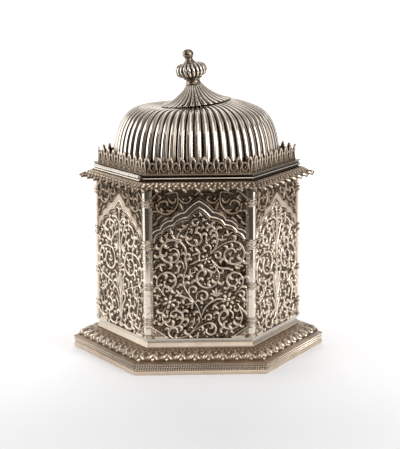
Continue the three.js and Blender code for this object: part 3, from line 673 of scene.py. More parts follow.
# Gaps between the scrolls, below the arch, take leaves of the size that fits
def fillGaps(field, spec, bold, rng):
    fill = spec["fill"]
    margin = fill["margin"]
    least, more = fill["fat"]
    for reach, length, tries in spec["fills"]:
        reach, length = reach * bold, length * bold
        for _ in range(tries):
            x = rng.uniform(field.xs[0] + margin, field.xs[-1] - margin)
            z = rng.uniform(field.zs[0] + margin, field.zs[-1] - margin)
            above = z > archBase + np.interp(abs(x), *np.transpose(outerCusps))
            if above or not field.hasRoom([(x, z)], reach):
                continue
            turn = rng.uniform(0, 2 * math.pi)
            root = (x - fill["back"] * length * math.cos(turn), z - fill["back"] * length * math.sin(turn))
            lobes = (-fill["lobeTurn"], 0, fill["lobeTurn"]) if length > fill["lobedAbove"] else (0,)
            for lobe in lobes:
                size = length * (fill["lobeSize"] if lobe else fill["size"])
                bend = lobe * fill["lobeBend"] if lobe else fill["bend"]
                carveComma(field, spec, commaLine(root, turn + lobe, size, bend), least + more * length)


def mirrored(paths):
    return paths + [[(-x, z) for x, z in path] for path in paths]


# Designs: stems and scrolls as paths, rosettes as centre and radius, palmettes as root, heading, size and lobes.
# Ground and band are the levels of the floor between the leaves and of the arch's band, and paintedLight scales the
# level of the leaves and of the painted shade beside them. These differ between the front and back and the four sides
# as painted light: ground and paintedLight are lower on the front and back, the band lower on the sides. The front
# panel is read off the photograph
frontDesign = {
    "bold": 1, "paintedLight": 0.9, "ground": 0.11, "band": 1.25,
    "paths": [
        curl((-14.3, 46), (7.6, 1.8), -25, 500, [
            (0.8, 11), (-1.2, 17.3), (-4.8, 22.5), (-8.1, 28.4), (-8.2, 33.7), (-6.7, 38.5)]),
        curl((17.2, 45.2), (6.9, 2), 118, -440, [(6, 45.6), (9.6, 48.8)]),
        curl((-2.3, 54.2), (4.9, 2.6), 140, 300),
        curl((-2, 62.2), (1.7, 1.3), 60, 300),
        curl((-16.6, 30.6), (5.8, 1.6), 200, -380, [(-18.4, 23.4)]),
        curl((3.6, 33.4), (6.9, 1.5), 48, -460, [(6.3, 42.3)]),
        curl((17.9, 31), (5, 1.4), -40, 420, [(18.7, 23.9)]),
        curl((1.6, 22.6), (3.5, 1), 195, -330),
        curl((-13.4, 12), (6.5, 1.8), 135, 400),
        curl((15.2, 11.4), (7.2, 2), 35, -400, [(20.2, 18.6)]),
        curl((-13.4, 3.6), (3.4, 1.6), -70, -290, [(-0.1, 9.1), (-5.4, 2.6), (-9.2, 0.8)]),
        curl((5.2, 4.7), (3.7, 1.8), 110, -290, [(-5.4, 2.6), (-0.1, 6.3)]),
        curl((4.6, 11.2), (1.9, 1), 200, -300, [(1.2, 10.4)]),
        curl((-3.4, 26.2), (2.3, 1), 210, -300, [(-5.6, 23.8)]),
        curl((-17.3, 26.6), (2, 0.9), 210, -300, [(-19.3, 24)]),
        curl((9.4, 44.7), (2, 1), 150, -330),
        curl((21.8, 23.8), (1.8, 1), 150, -300),
        curl((-10.4, 39.7), (2.1, 1), -10, 290, [(-8, 37.6)]),
        curl((3.8, 48.2), (2.3, 1.4), -20, 260, [(5.8, 45.6)]),
        [(5.8, 45.6), (8.9, 49.7), (9.4, 54.5), (7.6, 59.1), (4, 61.6)],
        [(6.3, 42.3), (10.5, 38), (14.7, 37.6), (16.9, 36.8)],
        [(0.7, 12), (3.6, 17.7), (8.7, 21.1), (13, 21)],
        [(-4.6, 21.4), (-9.2, 22.9), (-12, 23.6)],
        [(19.6, 18.6), (24.3, 13.2)],
        [(-5, 39.8), (-0.1, 42.1)],
        [(9.4, 37.6), (7.4, 35.6), (4.8, 36.4)],
    ],
    "rosettes": [((3.4, 42.6), 2.3), ((-15.9, 19.9), 3), ((15, 20.9), 3)],
    "palmettes": [
        ((8.8, 22.4), 92, 4.4, 5), ((-12.6, 52.6), 62, 4.4, 3), ((12, 52), 90, 3, 3),
        ((-9.9, 23.4), 130, 3.6, 3), ((-21, 40.4), -70, 4, 3), ((7, 18.2), -40, 3.4, 3),
        ((-3.2, 19.4), 195, 4.2, 3), ((15.4, 54.8), 110, 3.2, 3), ((-17, 54), -60, 2.6, 2),
        ((0.6, 46.4), 200, 4.4, 3), ((-5.6, 34.8), 15, 3.2, 3), ((20.4, 38.6), 60, 3, 3),
    ],
}

# The four panels beside and behind are drawn once and mirrored about their middle
pairedPaths = [
    curl((9.2, 5.9), (5, 3.4), 190, 230, [(0.5, 9), (2.6, 5)]),
    curl((13.3, 11.8), (5, 2.6), -10, -290, [(20, 18.4)]),
    curl((11.6, 36.8), (6.6, 2.2), 110, 400, [
        (1, 14.4), (3, 20), (8.9, 23.6), (17.3, 26.2), (22.4, 28.8), (23.6, 33.6), (22.4, 39), (17.6, 42.8)]),
    curl((10.8, 51.6), (6.9, 2.2), 165, -420, [(0.4, 40), (1.2, 46)]),
    [(0.6, 17), (3.6, 23.4), (3.4, 28.6), (5.2, 30.6)],
    [(0.4, 20), (1.8, 25), (1, 30)],
    [(9, 23.6), (9.4, 27.4), (6.8, 28.6)],
    [(17, 26), (15.4, 21.6), (18, 19.2)],
    [(0.5, 6), (2.2, 13), (4.8, 16.4)],
    [(3, 2.8), (6.4, 0.9)],
    [(15, 5), (19.4, 3.6), (21.6, 7)],
    [(0.6, 58), (3.6, 60.6), (7.6, 60.4)],
]
sideDesign = {
    "bold": 1.12, "paintedLight": 0.97, "ground": 0.17, "band": 0.62,
    "paths": mirrored(pairedPaths) + [[(0, 0.8), (0, 32)], [(0, 35.6), (0, 64)]],
    "rosettes": [
        ((0, 33.8), 2), ((-18.6, 20.4), 2.4), ((18.6, 20.4), 2.4), ((-4.6, 62.2), 1.8), ((4.6, 62.2), 1.8),
    ],
    "palmettes": [
        ((0, 0.6), 90, 3.6, 5), ((2.2, 43.4), 30, 4.4, 5), ((-2.2, 43.4), 150, 4.4, 5),
        ((0, 64.6), 90, 3.6, 3), ((9.4, 8), 60, 3.4, 3), ((-9.4, 8), 120, 3.4, 3),
        ((10.4, 35), 80, 3.2, 3), ((-10.4, 35), 100, 3.2, 3),
    ],
}

# Above the arch on every panel: stems first, then curled leaves with a full end
spandrelPaths = mirrored([
    [(-11.2, 78), (-10.9, 74.6), (-11.2, 71.7), (-12.9, 68.8), (-15.3, 67), (-17.7, 66.7), (-20.1, 67.6),
     (-21.7, 69.3), (-22, 71.4)],
    [(-19.4, 67.3), (-22.6, 68.2), (-24.1, 67.9), (-24.6, 66.6)],
    [(-10.8, 75.2), (-9.8, 74.1), (-8.3, 72.7), (-6.8, 72.4), (-5.3, 73), (-4.2, 74.4), (-4.8, 75.6)],
    [(-28, 75.5), (-27, 74.3), (-25.3, 74.3), (-23.8, 75.5), (-22, 77.3), (-19.8, 78.6)],
    [(-18, 77), (-15.3, 77.8), (-11.7, 78.2)],
])
spandrelLeaves = mirrored([
    [(-21.1, 70.6), (-20.5, 72.6), (-18.6, 73.5), (-16.8, 73.2), (-16.2, 71.4)],
    [(-15.8, 74.6), (-14.8, 73.1), (-13.5, 72.7), (-12.3, 73.4), (-12, 74.8)],
    [(-20.1, 69.9), (-19.2, 68.4)],
    [(-16.8, 68.7), (-15.4, 68.2), (-14, 68.6)],
    [(-10.1, 72.6), (-9.4, 71), (-8.8, 69.4)],
    [(-21.6, 73.5), (-19.9, 75.4), (-21, 76.5)],
    [(-24.6, 60.9), (-23, 61.3), (-21.9, 62.6)],
    [(-22, 63.6), (-19.6, 65.8)],
    [(-19.4, 62.6), (-17, 64.6)],
    [(-25, 63.4), (-25.2, 65)],
    [(-25.2, 70.6), (-24, 72.2), (-25, 73.4)],
    [(-12.6, 66), (-10.4, 67.2)],
    [(-8.6, 75), (-8, 74.4)],
    [(-2, 76.6), (-0.8, 77.8)],
])


# Cusps of the arch's inner and outer line, outwards from the apex. Each stretch bends towards a point that lies a
# share of its way out and a share of its way down
archBase = 53.2
innerCusps = [(0, 16.6), (5.8, 11.5), (13.3, 7.4), (19.5, 3.5), (23.6, -0.8)]
outerCusps = [(0, 20.4), (7.4, 14.4), (14.2, 10.3), (20.4, 5.6), (25.2, 2.2)]
apexBend, cuspBend = (0.55, 0.3), (0.8, 0.12)


def archLine(cusps, steps=9):
    line = [cusps[0]]
    for i in range(1, len(cusps)):
        (x0, z0), (x1, z1) = cusps[i - 1], cusps[i]
        pull, sink = apexBend if i == 1 else cuspBend
        bend = (x0 + (x1 - x0) * pull, z0 + (z1 - z0) * sink)
        for k in range(1, steps + 1):
            t = k / steps
            line.append(tuple((1 - t) ** 2 * p + 2 * t * (1 - t) * q + t * t * r
                              for p, q, r in zip((x0, z0), bend, (x1, z1))))
    return np.array(line) + (0, archBase)


# The plain sunk band of the arch between its thin raised lines
def carveArch(field, spec):
    inner, outer = edges = archLine(innerCusps), archLine(outerCusps)
    gx, gz = np.meshgrid(np.abs(field.xs), field.zs)
    innerZ = np.interp(gx, inner[:, 0], inner[:, 1], right=archBase)
    outerZ = np.interp(gx, outer[:, 0], outer[:, 1])
    margin = spec["bandMargin"]
    band = (gz > innerZ - margin) & (gz < outerZ + margin) & (gz > archBase - margin)
    field.height[band] = spec["bandHeight"]
    for which, up, width in spec["archLines"]:
        line = edges[which] + (0, up)
        for hand in (-1, 1):
            field.stroke(line * (hand, 1), [spec["rim"] * width] * len(line), spec["rimHeight"] * (0.5 + width / 2))
    return band


# Three-cornered foot of each pilaster, with its base bar and a ring
footBracket = {
    "length": 9.6, "height": 8, "plate": 0.35, "bar": 1.3, "barPast": 1.4, "barHeight": 0.8,
    "slant": 0.45, "slantHeight": 0.9, "ringAt": (0.34, 0.24), "ring": 1.15, "ringWide": 0.34, "ringHeight": 0.85,
    "ringPoints": 17, "dot": 0.4, "dotHeight": 0.7,
}


def carveFeet(field, spec, foot):
    edge, relief = field.xs[-1], spec["relief"]
    gx, gz = np.meshgrid(np.abs(field.xs), field.zs)
    field.height[gz / foot["height"] + (edge - gx) / foot["length"] < 1] = foot["plate"]
    acrossShare, upShare = foot["ringAt"]
    for hand in (-1, 1):
        corner, tip = (hand * edge, foot["height"]), (hand * (edge - foot["length"]), foot["bar"])
        field.stroke([corner, tip], [foot["slant"]], relief * foot["slantHeight"])
        middle = (hand * (edge - foot["length"] * acrossShare), foot["bar"] + foot["height"] * upShare)
        ring = [(middle[0] + foot["ring"] * math.cos(a), middle[1] + foot["ring"] * math.sin(a))
                for a in np.linspace(0, 2 * math.pi, foot["ringPoints"])]
        field.stroke(ring, [foot["ringWide"]] * len(ring), relief * foot["ringHeight"])
        field.dot(middle, foot["dot"], relief * foot["dotHeight"])
    bar = (gz < foot["bar"]) & (edge - gx < foot["length"] + foot["barPast"])
    field.height[bar] = relief * foot["barHeight"]


def softened(values, times):
    for _ in range(times):
        padded = np.pad(values, 1, mode="edge")
        sides = padded[:-2, 1:-1] + padded[2:, 1:-1] + padded[1:-1, :-2] + padded[1:-1, 2:]
        values = (sides + 4 * values) / 8
    return values


def carvePanel(design, spec):
    rng = random.Random(spec["seed"])
    half = wallApothem / mm * math.tan(halfAngle) - spec["edgeGap"]
    high = (wallTop - floorTop) / mm
    field = CarvedField(half, high, spec["step"])
    band = carveArch(field, spec)
    carveFeet(field, spec, footBracket)
    bold = design["bold"]
    lines = [carveStem(field, spec, path, bold) for path in design["paths"]]
    for centre, radius in design["rosettes"]:
        carveRosette(field, spec, np.array(centre), radius)
    for root, heading, size, lobes in design["palmettes"]:
        carvePalmette(field, spec, root, heading, size, lobes)
    for path in spandrelPaths:
        carveStem(field, spec, path, spec["spandrelStem"])
    for path in spandrelLeaves:
        carveComma(field, spec, bentLine(path), spec["spandrelLeaf"])
    for line in lines:
        carveLeaves(field, spec, line, bold, rng)
    fillGaps(field, spec, bold, rng)

    # The level is high on the leaves, with painted shade low beside them, and the ground has small punched dents
    raised = field.height / spec["relief"]
    shade = np.clip(softened(raised, spec["shadeReach"]) - raised, 0, 1)
    punched = softened(np.random.default_rng(spec["seed"]).normal(size=raised.shape), spec["dentReach"])
    ground = punched * smoothStep(*spec["dentBelow"], raised)
    lit = design["paintedLight"] * (spec["bright"] * raised - spec["shadeDark"] * shade)
    relief = np.clip(lit + design["ground"] + spec["dents"] * ground, 0, 1)
    # Painted shadow under the eave: everything above the arch's outer line is darker
    outer = archBase + np.interp(np.abs(field.xs), *np.transpose(outerCusps))
    relief *= 1 - spec["spandrelShadow"] * (field.zs[:, None] > outer[None, :])
    relief[band & (field.height <= spec["bandHeight"] + 0.01)] = design["band"]
    fade = smoothStep(0, spec["topFade"], high - field.zs)[:, None]
    field.height = np.maximum(field.height + spec["dentDepth"] * ground, 0) * fade
    return field, relief


def addWalls(spec):
    designs = [carvePanel(frontDesign, spec), carvePanel(sideDesign, spec)]
    wallInside = wallApothem - spec["wall"] * mm
    for index, name in enumerate(sideNames):
        field, relief = designs[0 if name in ("front", "back") else 1]
        gx, gz = np.meshgrid(field.xs * mm, floorTop + field.zs * mm)
        front = np.stack([gx, -wallApothem - field.height * mm, gz], -1)
        back = np.stack([gx * (wallInside / wallApothem), np.full_like(gx, -wallInside), gz], -1)
        turn = index * 2 * halfAngle
        mesh = sheetMesh("wall", turnPoints(front, turn), turnPoints(back, turn), relief)
        node = "wall_panel_" + name
        addPiece("carved_" + node, mesh, carvedSilver, "box", [node])


addWalls(carving)
print("walls done")


# Pilasters: a bent strip whose stand-off and width swell at the collars
pilaster = {
    "proud": 0.6, "leg": 3.55, "stand": 0.1, "rows": 230, "bottom": 0, "top": 81.7,
    # shares of the leg's width, and how far the face sinks there
    "across": [-1, -1, -0.97, -0.68, -0.62, -0.3, -0.06, 0, 0.06, 0.3, 0.62, 0.68, 0.97, 1, 1],
    "sink": [1, 0.5, 0.32, 0.26, 0.04, 0, 0, 0.04, 0, 0, 0.04, 0.26, 0.32, 0.5, 1],
    "bright": 0.98, "swellDark": 0.5, "sinkDark": (3, 0.66), "seamDark": 0.6, "seam": 0.35,
    # low and high end, how far it stands out and how much wider it is
    "collars": [
        (0, 1.3, 0.4, 1.2), (2, 6.4, 0.3, 0.4), (7.6, 8.7, 0.5, 1.2), (9.8, 10.9, 0.5, 1.2),
        (26.3, 27.3, 0.4, 0.9), (28.3, 29.3, 0.4, 0.9), (47.9, 49.3, 0.5, 1.4), (50.9, 52.3, 0.5, 1.4),
        (70.3, 71.3, 0.4, 1.1), (72.1, 73.1, 0.5, 1.3),
    ],
}


def pilasterSwell(height, spec):
    swell = np.zeros_like(height)
    widen = np.zeros_like(height)
    for low, high, proud, leg in spec["collars"]:
        t = np.clip((height - low) / (high - low), 0, 1)
        bead = np.where((height > low) & (height < high), np.sqrt(np.clip(1 - (2 * t - 1) ** 4, 0, 1)), 0)
        swell = np.maximum(swell, bead * proud)
        widen = np.maximum(widen, bead * leg)
    return swell, widen


def addPilasters(spec):
    height = np.linspace(spec["bottom"], spec["top"], spec["rows"])
    edges = [v for low, high, _, _ in spec["collars"] for v in (low + 0.01, low + 0.12, high - 0.12, high - 0.01)]
    height = np.unique(np.concatenate([height, edges]))
    swell, widen = pilasterSwell(height, spec)
    across, sink = np.array(spec["across"]), np.array(spec["sink"])
    face = wallApothem + spec["stand"] * mm
    proud = (spec["proud"] + swell)[:, None] * (1 - sink) * mm
    leg = (spec["leg"] + widen)[:, None] * np.abs(across) * mm
    x = (face + proud) / math.cos(halfAngle) - leg * math.sin(halfAngle)
    y = np.sign(across) * leg * math.cos(halfAngle)
    z = np.repeat((height * mm + floorTop)[:, None], len(across), 1)
    front = np.stack([x, y, z], -1)
    back = front.copy()
    back[..., 0] = face / math.cos(halfAngle) - leg * math.sin(halfAngle)

    sinkDark, darkest = spec["sinkDark"]
    relief = spec["bright"] - swell[:, None] * spec["swellDark"] - np.minimum(sink * sinkDark, darkest)
    seams = np.zeros_like(height)
    for low, high, _, _ in spec["collars"]:
        for edge in (low, high):
            seams += np.exp(-((height - edge) / spec["seam"]) ** 2)
    relief = np.clip(relief, 0, 1.2) - spec["seamDark"] * np.clip(seams, 0, 1)[:, None]
    mesh = sheetMesh("pilaster", front, back, np.clip(relief, 0, 1.2))
    whole = repeated("pilasters", mesh, sideCount, pilasterSilver)
    corners = ["right", "back_right", "back_left", "left", "front_left", "front_right"]
    nodes = ["pilaster_" + corner for corner in corners]
    addPiece("corner_pilasters", whole, pilasterSilver, "box", nodes)


addPilasters(pilaster)


# The plain band under the walls: a sloping face between two thin lips
cavetto = {
    "face": [
        (48.15, 15.7), (48.1, 15.35), (47.5, 15.2), (47.45, 15.0), (47.75, 14.0), (48.2, 12.8), (48.58, 11.95),
        (48.6, 11.4),
    ],
    "back": 46.6, "across": [-1, -0.998, -0.99, 0, 0.99, 0.998, 1], "level": 0.45,
}


def addCavetto(spec):
    face, across = np.array(spec["face"]), np.array(spec["across"])
    half = face[:, :1] * math.tan(halfAngle) * across
    front = np.stack([half, -face[:, :1] + 0 * half, face[:, 1:] + 0 * half], -1) * mm
    back = front.copy()
    back[..., 1] = -spec["back"] * mm
    back[..., 0] *= spec["back"] / face[:, :1]
    mesh = sheetMesh("cavetto", front, back, np.full(front.shape[:2], spec["level"]))
    whole = repeated("cavetto", mesh, sideCount, pilasterSilver)
    addPiece("cavetto_moulding", whole, pilasterSilver, "box", ["cavetto_band"])


addCavetto(cavetto)


# Borders: one side's strip of ornament each, copied round the six sides. Marks are placed by phase, the share of one
# repeat, and by the share of the strip's height, and the number before a mark is how high it stands
columnsPerRepeat = 20


def acrossSide(u, apothem):
    return (u - 0.5) * 2 * apothem * math.tan(halfAngle)


def ring(phase, v, centre, size, width):
    away = np.hypot((phase - centre[0]) / size[0], (v - centre[1]) / size[1])
    return np.clip(1 - np.abs(away - 1) / width, 0, 1) ** 0.5


def drop(phase, v, centre, size, lean=0.0):
    across = (phase - centre[0] - lean * (v - centre[1])) / size[0]
    along = (v - centre[1]) / size[1]
    return np.sqrt(np.clip(1 - across ** 2 - along ** 2, 0, 1))


def thread(v, at, width):
    return np.clip(1 - np.abs(v - at) / width, 0, 1)


def largest(*layers):
    out = layers[0]
    for layer in layers[1:]:
        out = np.maximum(out, layer)
    return out


# Cresting: a bud stands at every whole phase and a loop half way between two buds
cresting = {
    "height": 8.6, "apothem": 46.3, "past": 0.25, "sunk": 0.1, "thick": 0.35, "relief": 0.45, "shade": 1.2,
    "rows": 42, "repeats": 9.06, "shift": 0.04,
    "budHalf": 0.28, "budWide": 0.62, "budFoot": 0.09, "budSwell": 0.13, "budTop": 0.62, "budRise": 0.31,
    "outline": 0.42, "loopHalf": 0.27, "loopCentre": 0.42, "loopRise": 0.26,
}


def crestEdge(phase):
    near = np.minimum(phase, 1 - phase)
    tip = np.clip(1 - (near / cresting["budHalf"]) ** 2, 0, 1) ** 0.62
    bud = cresting["budWide"] + (1 - cresting["budWide"]) * tip
    loop = np.sqrt(np.clip(1 - ((0.5 - near) / cresting["loopHalf"]) ** 2, 0, 1))
    return np.where(near < cresting["budHalf"], bud, cresting["loopCentre"] + cresting["loopRise"] * loop)


def crestRelief(phase, v):
    z = v * crestEdge(phase)
    near = np.minimum(phase, 1 - phase)
    side = cresting["budFoot"] + cresting["budSwell"] * smoothStep(0.15, 0.55, z)
    # 1 along the bud's outline
    bud = np.hypot(near / side, np.maximum(z - cresting["budTop"], 0) / cresting["budRise"])
    return 0.04 + largest(
        thread(bud, 1, cresting["outline"]) ** 0.5,
        0.4 * drop(near, z, (0, 0.66), (0.03, 0.12)),
        (0.5 + 0.3 * z) * ring(phase, z, (0.5, 0.37), (0.25, 0.26), 0.28),
        0.5 * drop(phase, z, (0.54, 0.33), (0.07, 0.1), lean=0.4),
        0.5 * thread(z, 0.04, 0.035),
    )


def crestPlace(u, v, phase, raised):
    half = (cresting["apothem"] * math.tan(halfAngle)) * mm + cresting["past"] * mm
    x = (u - 0.5) * 2 * half
    z = plateTop + v * crestEdge(phase) * cresting["height"] * mm
    face = (cresting["apothem"] + cresting["thick"]) * mm
    front = np.stack([x, -(face + raised * cresting["relief"] * mm - cresting["sunk"] * mm), z], -1)
    back = np.stack([x, np.full_like(x, -cresting["apothem"] * mm), z], -1)
    return front, back


# Strip with its back drawn as finely as its front, a little darker there
def fullSheet(name, front, back, relief, behind=0.8):
    rows, columns = front.shape[:2]
    first = rows * columns
    loop = [int(i) for i in edgeLoop(rows, columns)]
    points = np.concatenate([front.reshape(-1, 3), back.reshape(-1, 3)])
    faces = gridFaces(rows, columns) + gridFaces(rows, columns, first, True)
    faces += rimFaces(loop, [i + first for i in loop])
    return plainMesh(name, points, faces, np.concatenate([relief.reshape(-1), relief.reshape(-1) * behind]))


def borderMesh(name, spec, place, height):
    columns = int(spec["repeats"] * columnsPerRepeat) + 1
    u, v = np.meshgrid(np.linspace(0, 1, columns), np.linspace(0, 1, spec["rows"]))
    phase = (u * spec["repeats"] - spec["shift"]) % 1.0
    raised = height(phase, v)
    front, back = place(u, v, phase, raised)
    return fullSheet(name, front, back, np.clip(raised / raised.max(), 0, 1) ** spec["shade"])


def addBorder(name, spec, place, height, body, nodes):
    mesh = borderMesh(name, spec, place, height)
    whole = repeated(name, mesh, sideCount, carvedSilver)
    addPiece(name, whole, carvedSilver, body, nodes)


addBorder("lid_cresting", cresting, crestPlace, crestRelief, "lid", ["cresting_" + n for n in sideNames])

# Eave: sloping strip with a hanging leaf at the middle of every phase and two short lobes beside it
eave = {
    "length": 9.2, "valley": 6.6, "wing": 8.2, "thick": 0.5, "relief": 0.9, "slope": 27, "stand": 0.15,
    "drop": 0.2, "leafHalf": 0.19, "lobeAt": 0.31, "lobeHalf": 0.16, "lobe": 0.5, "gapDepth": 0.9,
    "rows": 40, "repeats": 9, "shift": 0, "shade": 0.62,
}


def eaveEdge(u, phase):
    near = np.abs(phase - 0.5)
    leaf = np.sqrt(np.clip(1 - (near / eave["leafHalf"]) ** 2, 0, 1))
    lobe = eave["lobe"] * np.sqrt(np.clip(1 - ((near - eave["lobeAt"]) / eave["lobeHalf"]) ** 2, 0, 1))
    corner = smoothStep(0.25, 0, np.minimum(u, 1 - u) * eave["repeats"])
    edge = eave["valley"] + (eave["length"] - eave["valley"]) * np.maximum(leaf, lobe)
    return np.maximum(edge, eave["valley"] + (eave["wing"] - eave["valley"]) * corner)


def eaveRelief(phase, v):
    s = v * eaveEdge(0.5, phase) / eave["length"]
    wrapped = (phase + 0.5) % 1.0
    twice = (phase * 2) % 1.0
    thrice = (phase * 3) % 1.0
    gap = smoothStep(0.7, 0.78, s) * smoothStep(0.13, 0.2, np.abs(phase - 0.47))
    return smoothStep(0.07, 0.15, s) * (1 - eave["gapDepth"] * gap) * (0.12 + largest(
        drop(phase, s, (0.48, 0.87), (0.1, 0.14), lean=0.7),
        0.9 * drop(phase, s, (0.33, 0.78), (0.06, 0.16), lean=0.9),
        0.95 * drop(phase, s, (0.68, 0.72), (0.07, 0.2), lean=0.5),
        0.85 * drop(wrapped, s, (0.5, 0.62), (0.09, 0.13)),
        0.85 * drop(twice, s, (0.5, 0.44), (0.22, 0.12), lean=-1.8),
        0.8 * drop(thrice, s, (0.5, 0.26), (0.3, 0.09), lean=-2.8),
        0.5 * thread(s, 0.13, 0.03),
    ))


def eavePlace(u, v, phase, raised):
    slope = math.radians(eave["slope"])
    down = v * eaveEdge(u, phase) * mm
    top = wallApothem + eave["stand"] * mm
    half = (top + down * math.cos(slope)) * math.tan(halfAngle)
    x = (u - 0.5) * 2 * half
    thick = (eave["thick"] + raised * eave["relief"]) * mm
    start = wallTop - eave["drop"] * mm
    y, z = -(top + down * math.cos(slope)), start - down * math.sin(slope)
    wide = 1 + thick * math.sin(slope) * math.tan(halfAngle) / half
    front = np.stack([x * wide, y - thick * math.sin(slope), z + thick * math.cos(slope)], -1)
    return front, np.stack([x, y, z], -1)


addBorder("leaf_eave", eave, eavePlace, eaveRelief, "box", ["eave_" + n for n in sideNames])

# Skirt: quarter-round strip of curled leaves between the foot and the walls, which fade out towards its top
skirt = {
    "foot": 57, "head": 48.6, "low": 7.0, "high": 11.4, "thick": 1.0, "relief": 1.25, "fadeAt": 1.15,
    "inset": 0.25, "sunk": 0.2, "backSunk": 0.3, "rows": 36, "repeats": 9, "shift": 0.62, "shade": 0.62,
}


def skirtRelief(phase, v):
    wrapped = (phase + 0.5) % 1.0
    return 0.16 + largest(
        drop(phase, v, (0.46, 0.1), (0.11, 0.13), lean=0.2),
        drop(phase, v, (0.64, 0.36), (0.14, 0.3), lean=-0.5),
        0.9 * drop(phase, v, (0.33, 0.36), (0.085, 0.27), lean=0.6),
        0.8 * drop(phase, v, (0.17, 0.37), (0.06, 0.2), lean=0.8),
        0.75 * drop(phase, v, (0.49, 0.42), (0.05, 0.27)),
        0.7 * ring(phase, v, (0.5, 0.78), (0.2, 0.13), 0.36),
        0.6 * ring(wrapped, v, (0.5, 0.66), (0.13, 0.12), 0.45),
        0.55 * ring(wrapped, v, (0.5, 0.24), (0.085, 0.07), 0.6),
        0.6 * drop(wrapped, v, (0.5, 0.88), (0.1, 0.06)),
        0.5 * thread(v, 0.97, 0.03),
    )


def skirtPlace(u, v, phase, raised):
    angle = v * math.pi / 2
    spread = skirt["foot"] - skirt["head"]
    rise = skirt["high"] - skirt["low"]
    apothem = skirt["head"] + spread * np.cos(angle)
    z = skirt["low"] + rise * np.sin(angle)
    lift = raised * skirt["relief"] * np.clip(skirt["fadeAt"] - v, 0, 1)
    outer = apothem + lift * np.cos(angle) - skirt["inset"]
    outZ = z + lift * np.sin(angle) - skirt["sunk"] * np.sin(angle)
    front = np.stack([acrossSide(u, outer), -outer, outZ], -1) * mm
    inner = apothem - skirt["thick"]
    back = np.stack([acrossSide(u, inner), -inner, z - skirt["backSunk"] * v], -1) * mm
    return front, back


addBorder("acanthus_leaves", skirt, skirtPlace, skirtRelief, "box", ["acanthus_skirt"])

# Rope: three plies above each other, of which the lowest is a milled bead with upright marks
rope = {
    "low": 2.2, "high": 5.8, "face": 59.8, "thick": 1.2, "relief": 0.9, "sunk": 0.15, "middle": 0.7,
    "strands": 56, "perStrand": 6, "rows": 19, "plies": 3, "slant": 0.6, "strandHalf": 0.34, "ground": 0.04,
    "gain": 1.6, "dark": 0.32,
}


def addRope(spec):
    columns = spec["strands"] * spec["perStrand"] + 1
    u, v = np.meshgrid(np.linspace(0, 1, columns), np.linspace(0, 1, spec["rows"]))
    ply = (v * spec["plies"]) % 1.0
    slant = np.where(v * spec["plies"] < 1, 0, spec["slant"])
    twist = (u * spec["strands"] - slant * ply) % 1.0
    strand = np.sqrt(np.clip(1 - (np.abs(twist - 0.5) / spec["strandHalf"]) ** 2, 0, 1))
    barrel = np.sqrt(np.clip(1 - (2 * ply - 1) ** 2, 0, 1))
    raised = spec["ground"] + strand * barrel
    apothem = (spec["face"] - spec["sunk"] + (raised - spec["middle"]) * spec["relief"]) * mm
    z = (spec["low"] + v * (spec["high"] - spec["low"])) * mm
    front = np.stack([acrossSide(u, apothem), -apothem, z], -1)
    inner = (spec["face"] - spec["thick"]) * mm
    back = np.stack([acrossSide(u, inner), np.full_like(u, -inner), z], -1)
    mesh = sheetMesh("rope", front, back, np.clip(raised * spec["gain"] - spec["dark"], 0, 1))
    whole = repeated("rope", mesh, sideCount, carvedSilver)
    addPiece("rope_twist", whole, carvedSilver, "box", ["rope_band"])


addRope(rope)
print("borders done")


# Fluted and turned pieces. Each is one flute's wedge copied round the axis, or a profile turned about it. Columns are
# those of one flute, shadow is how fast the level falls from its crest, arch lifts the sheet's underside below the
# crest, and scallop draws the rim in between the crests
dome = {
    "radius": 45.4, "height": 31.5, "sink": 2.8, "wallPower": 6.4, "crownPower": 2.4, "flutes": 60,
    "depth": 1.9, "crownDepth": 1.0, "wall": 0.65, "rows": 64, "innerRows": 20, "columns": 12, "hole": 1.5,
    "lean": 8, "seat": 12, "reach": 34, "shadow": 2.9, "arch": 0, "scallop": 0,
}
insideLevel = 0.45


# Points at even steps along the dome's curve, from the rim up to the axis
def evenRows(spec, radius, height, rows, samples=1200):
    angle = np.linspace(0, math.pi / 2, samples)
    across = radius * np.cos(angle) ** (2 / spec["wallPower"])
    across[-1] = 0
    rise = (height + spec["sink"]) * np.sin(angle) ** (2 / spec["crownPower"]) - spec["sink"]
    keep = rise > 0
    across, rise = np.append(across[keep][0], across[keep]), np.append(0, rise[keep])
    return evenSteps(across, rise, rows)


def evenSteps(across, rise, rows):
    length = np.append(0, np.cumsum(np.hypot(np.diff(across), np.diff(rise))))
    wanted = np.linspace(0, length[-1], rows)
    return np.interp(wanted, length, across), np.interp(wanted, length, rise)


def spline(points, rows):
    return evenSteps(*bentLine(points).T, rows)


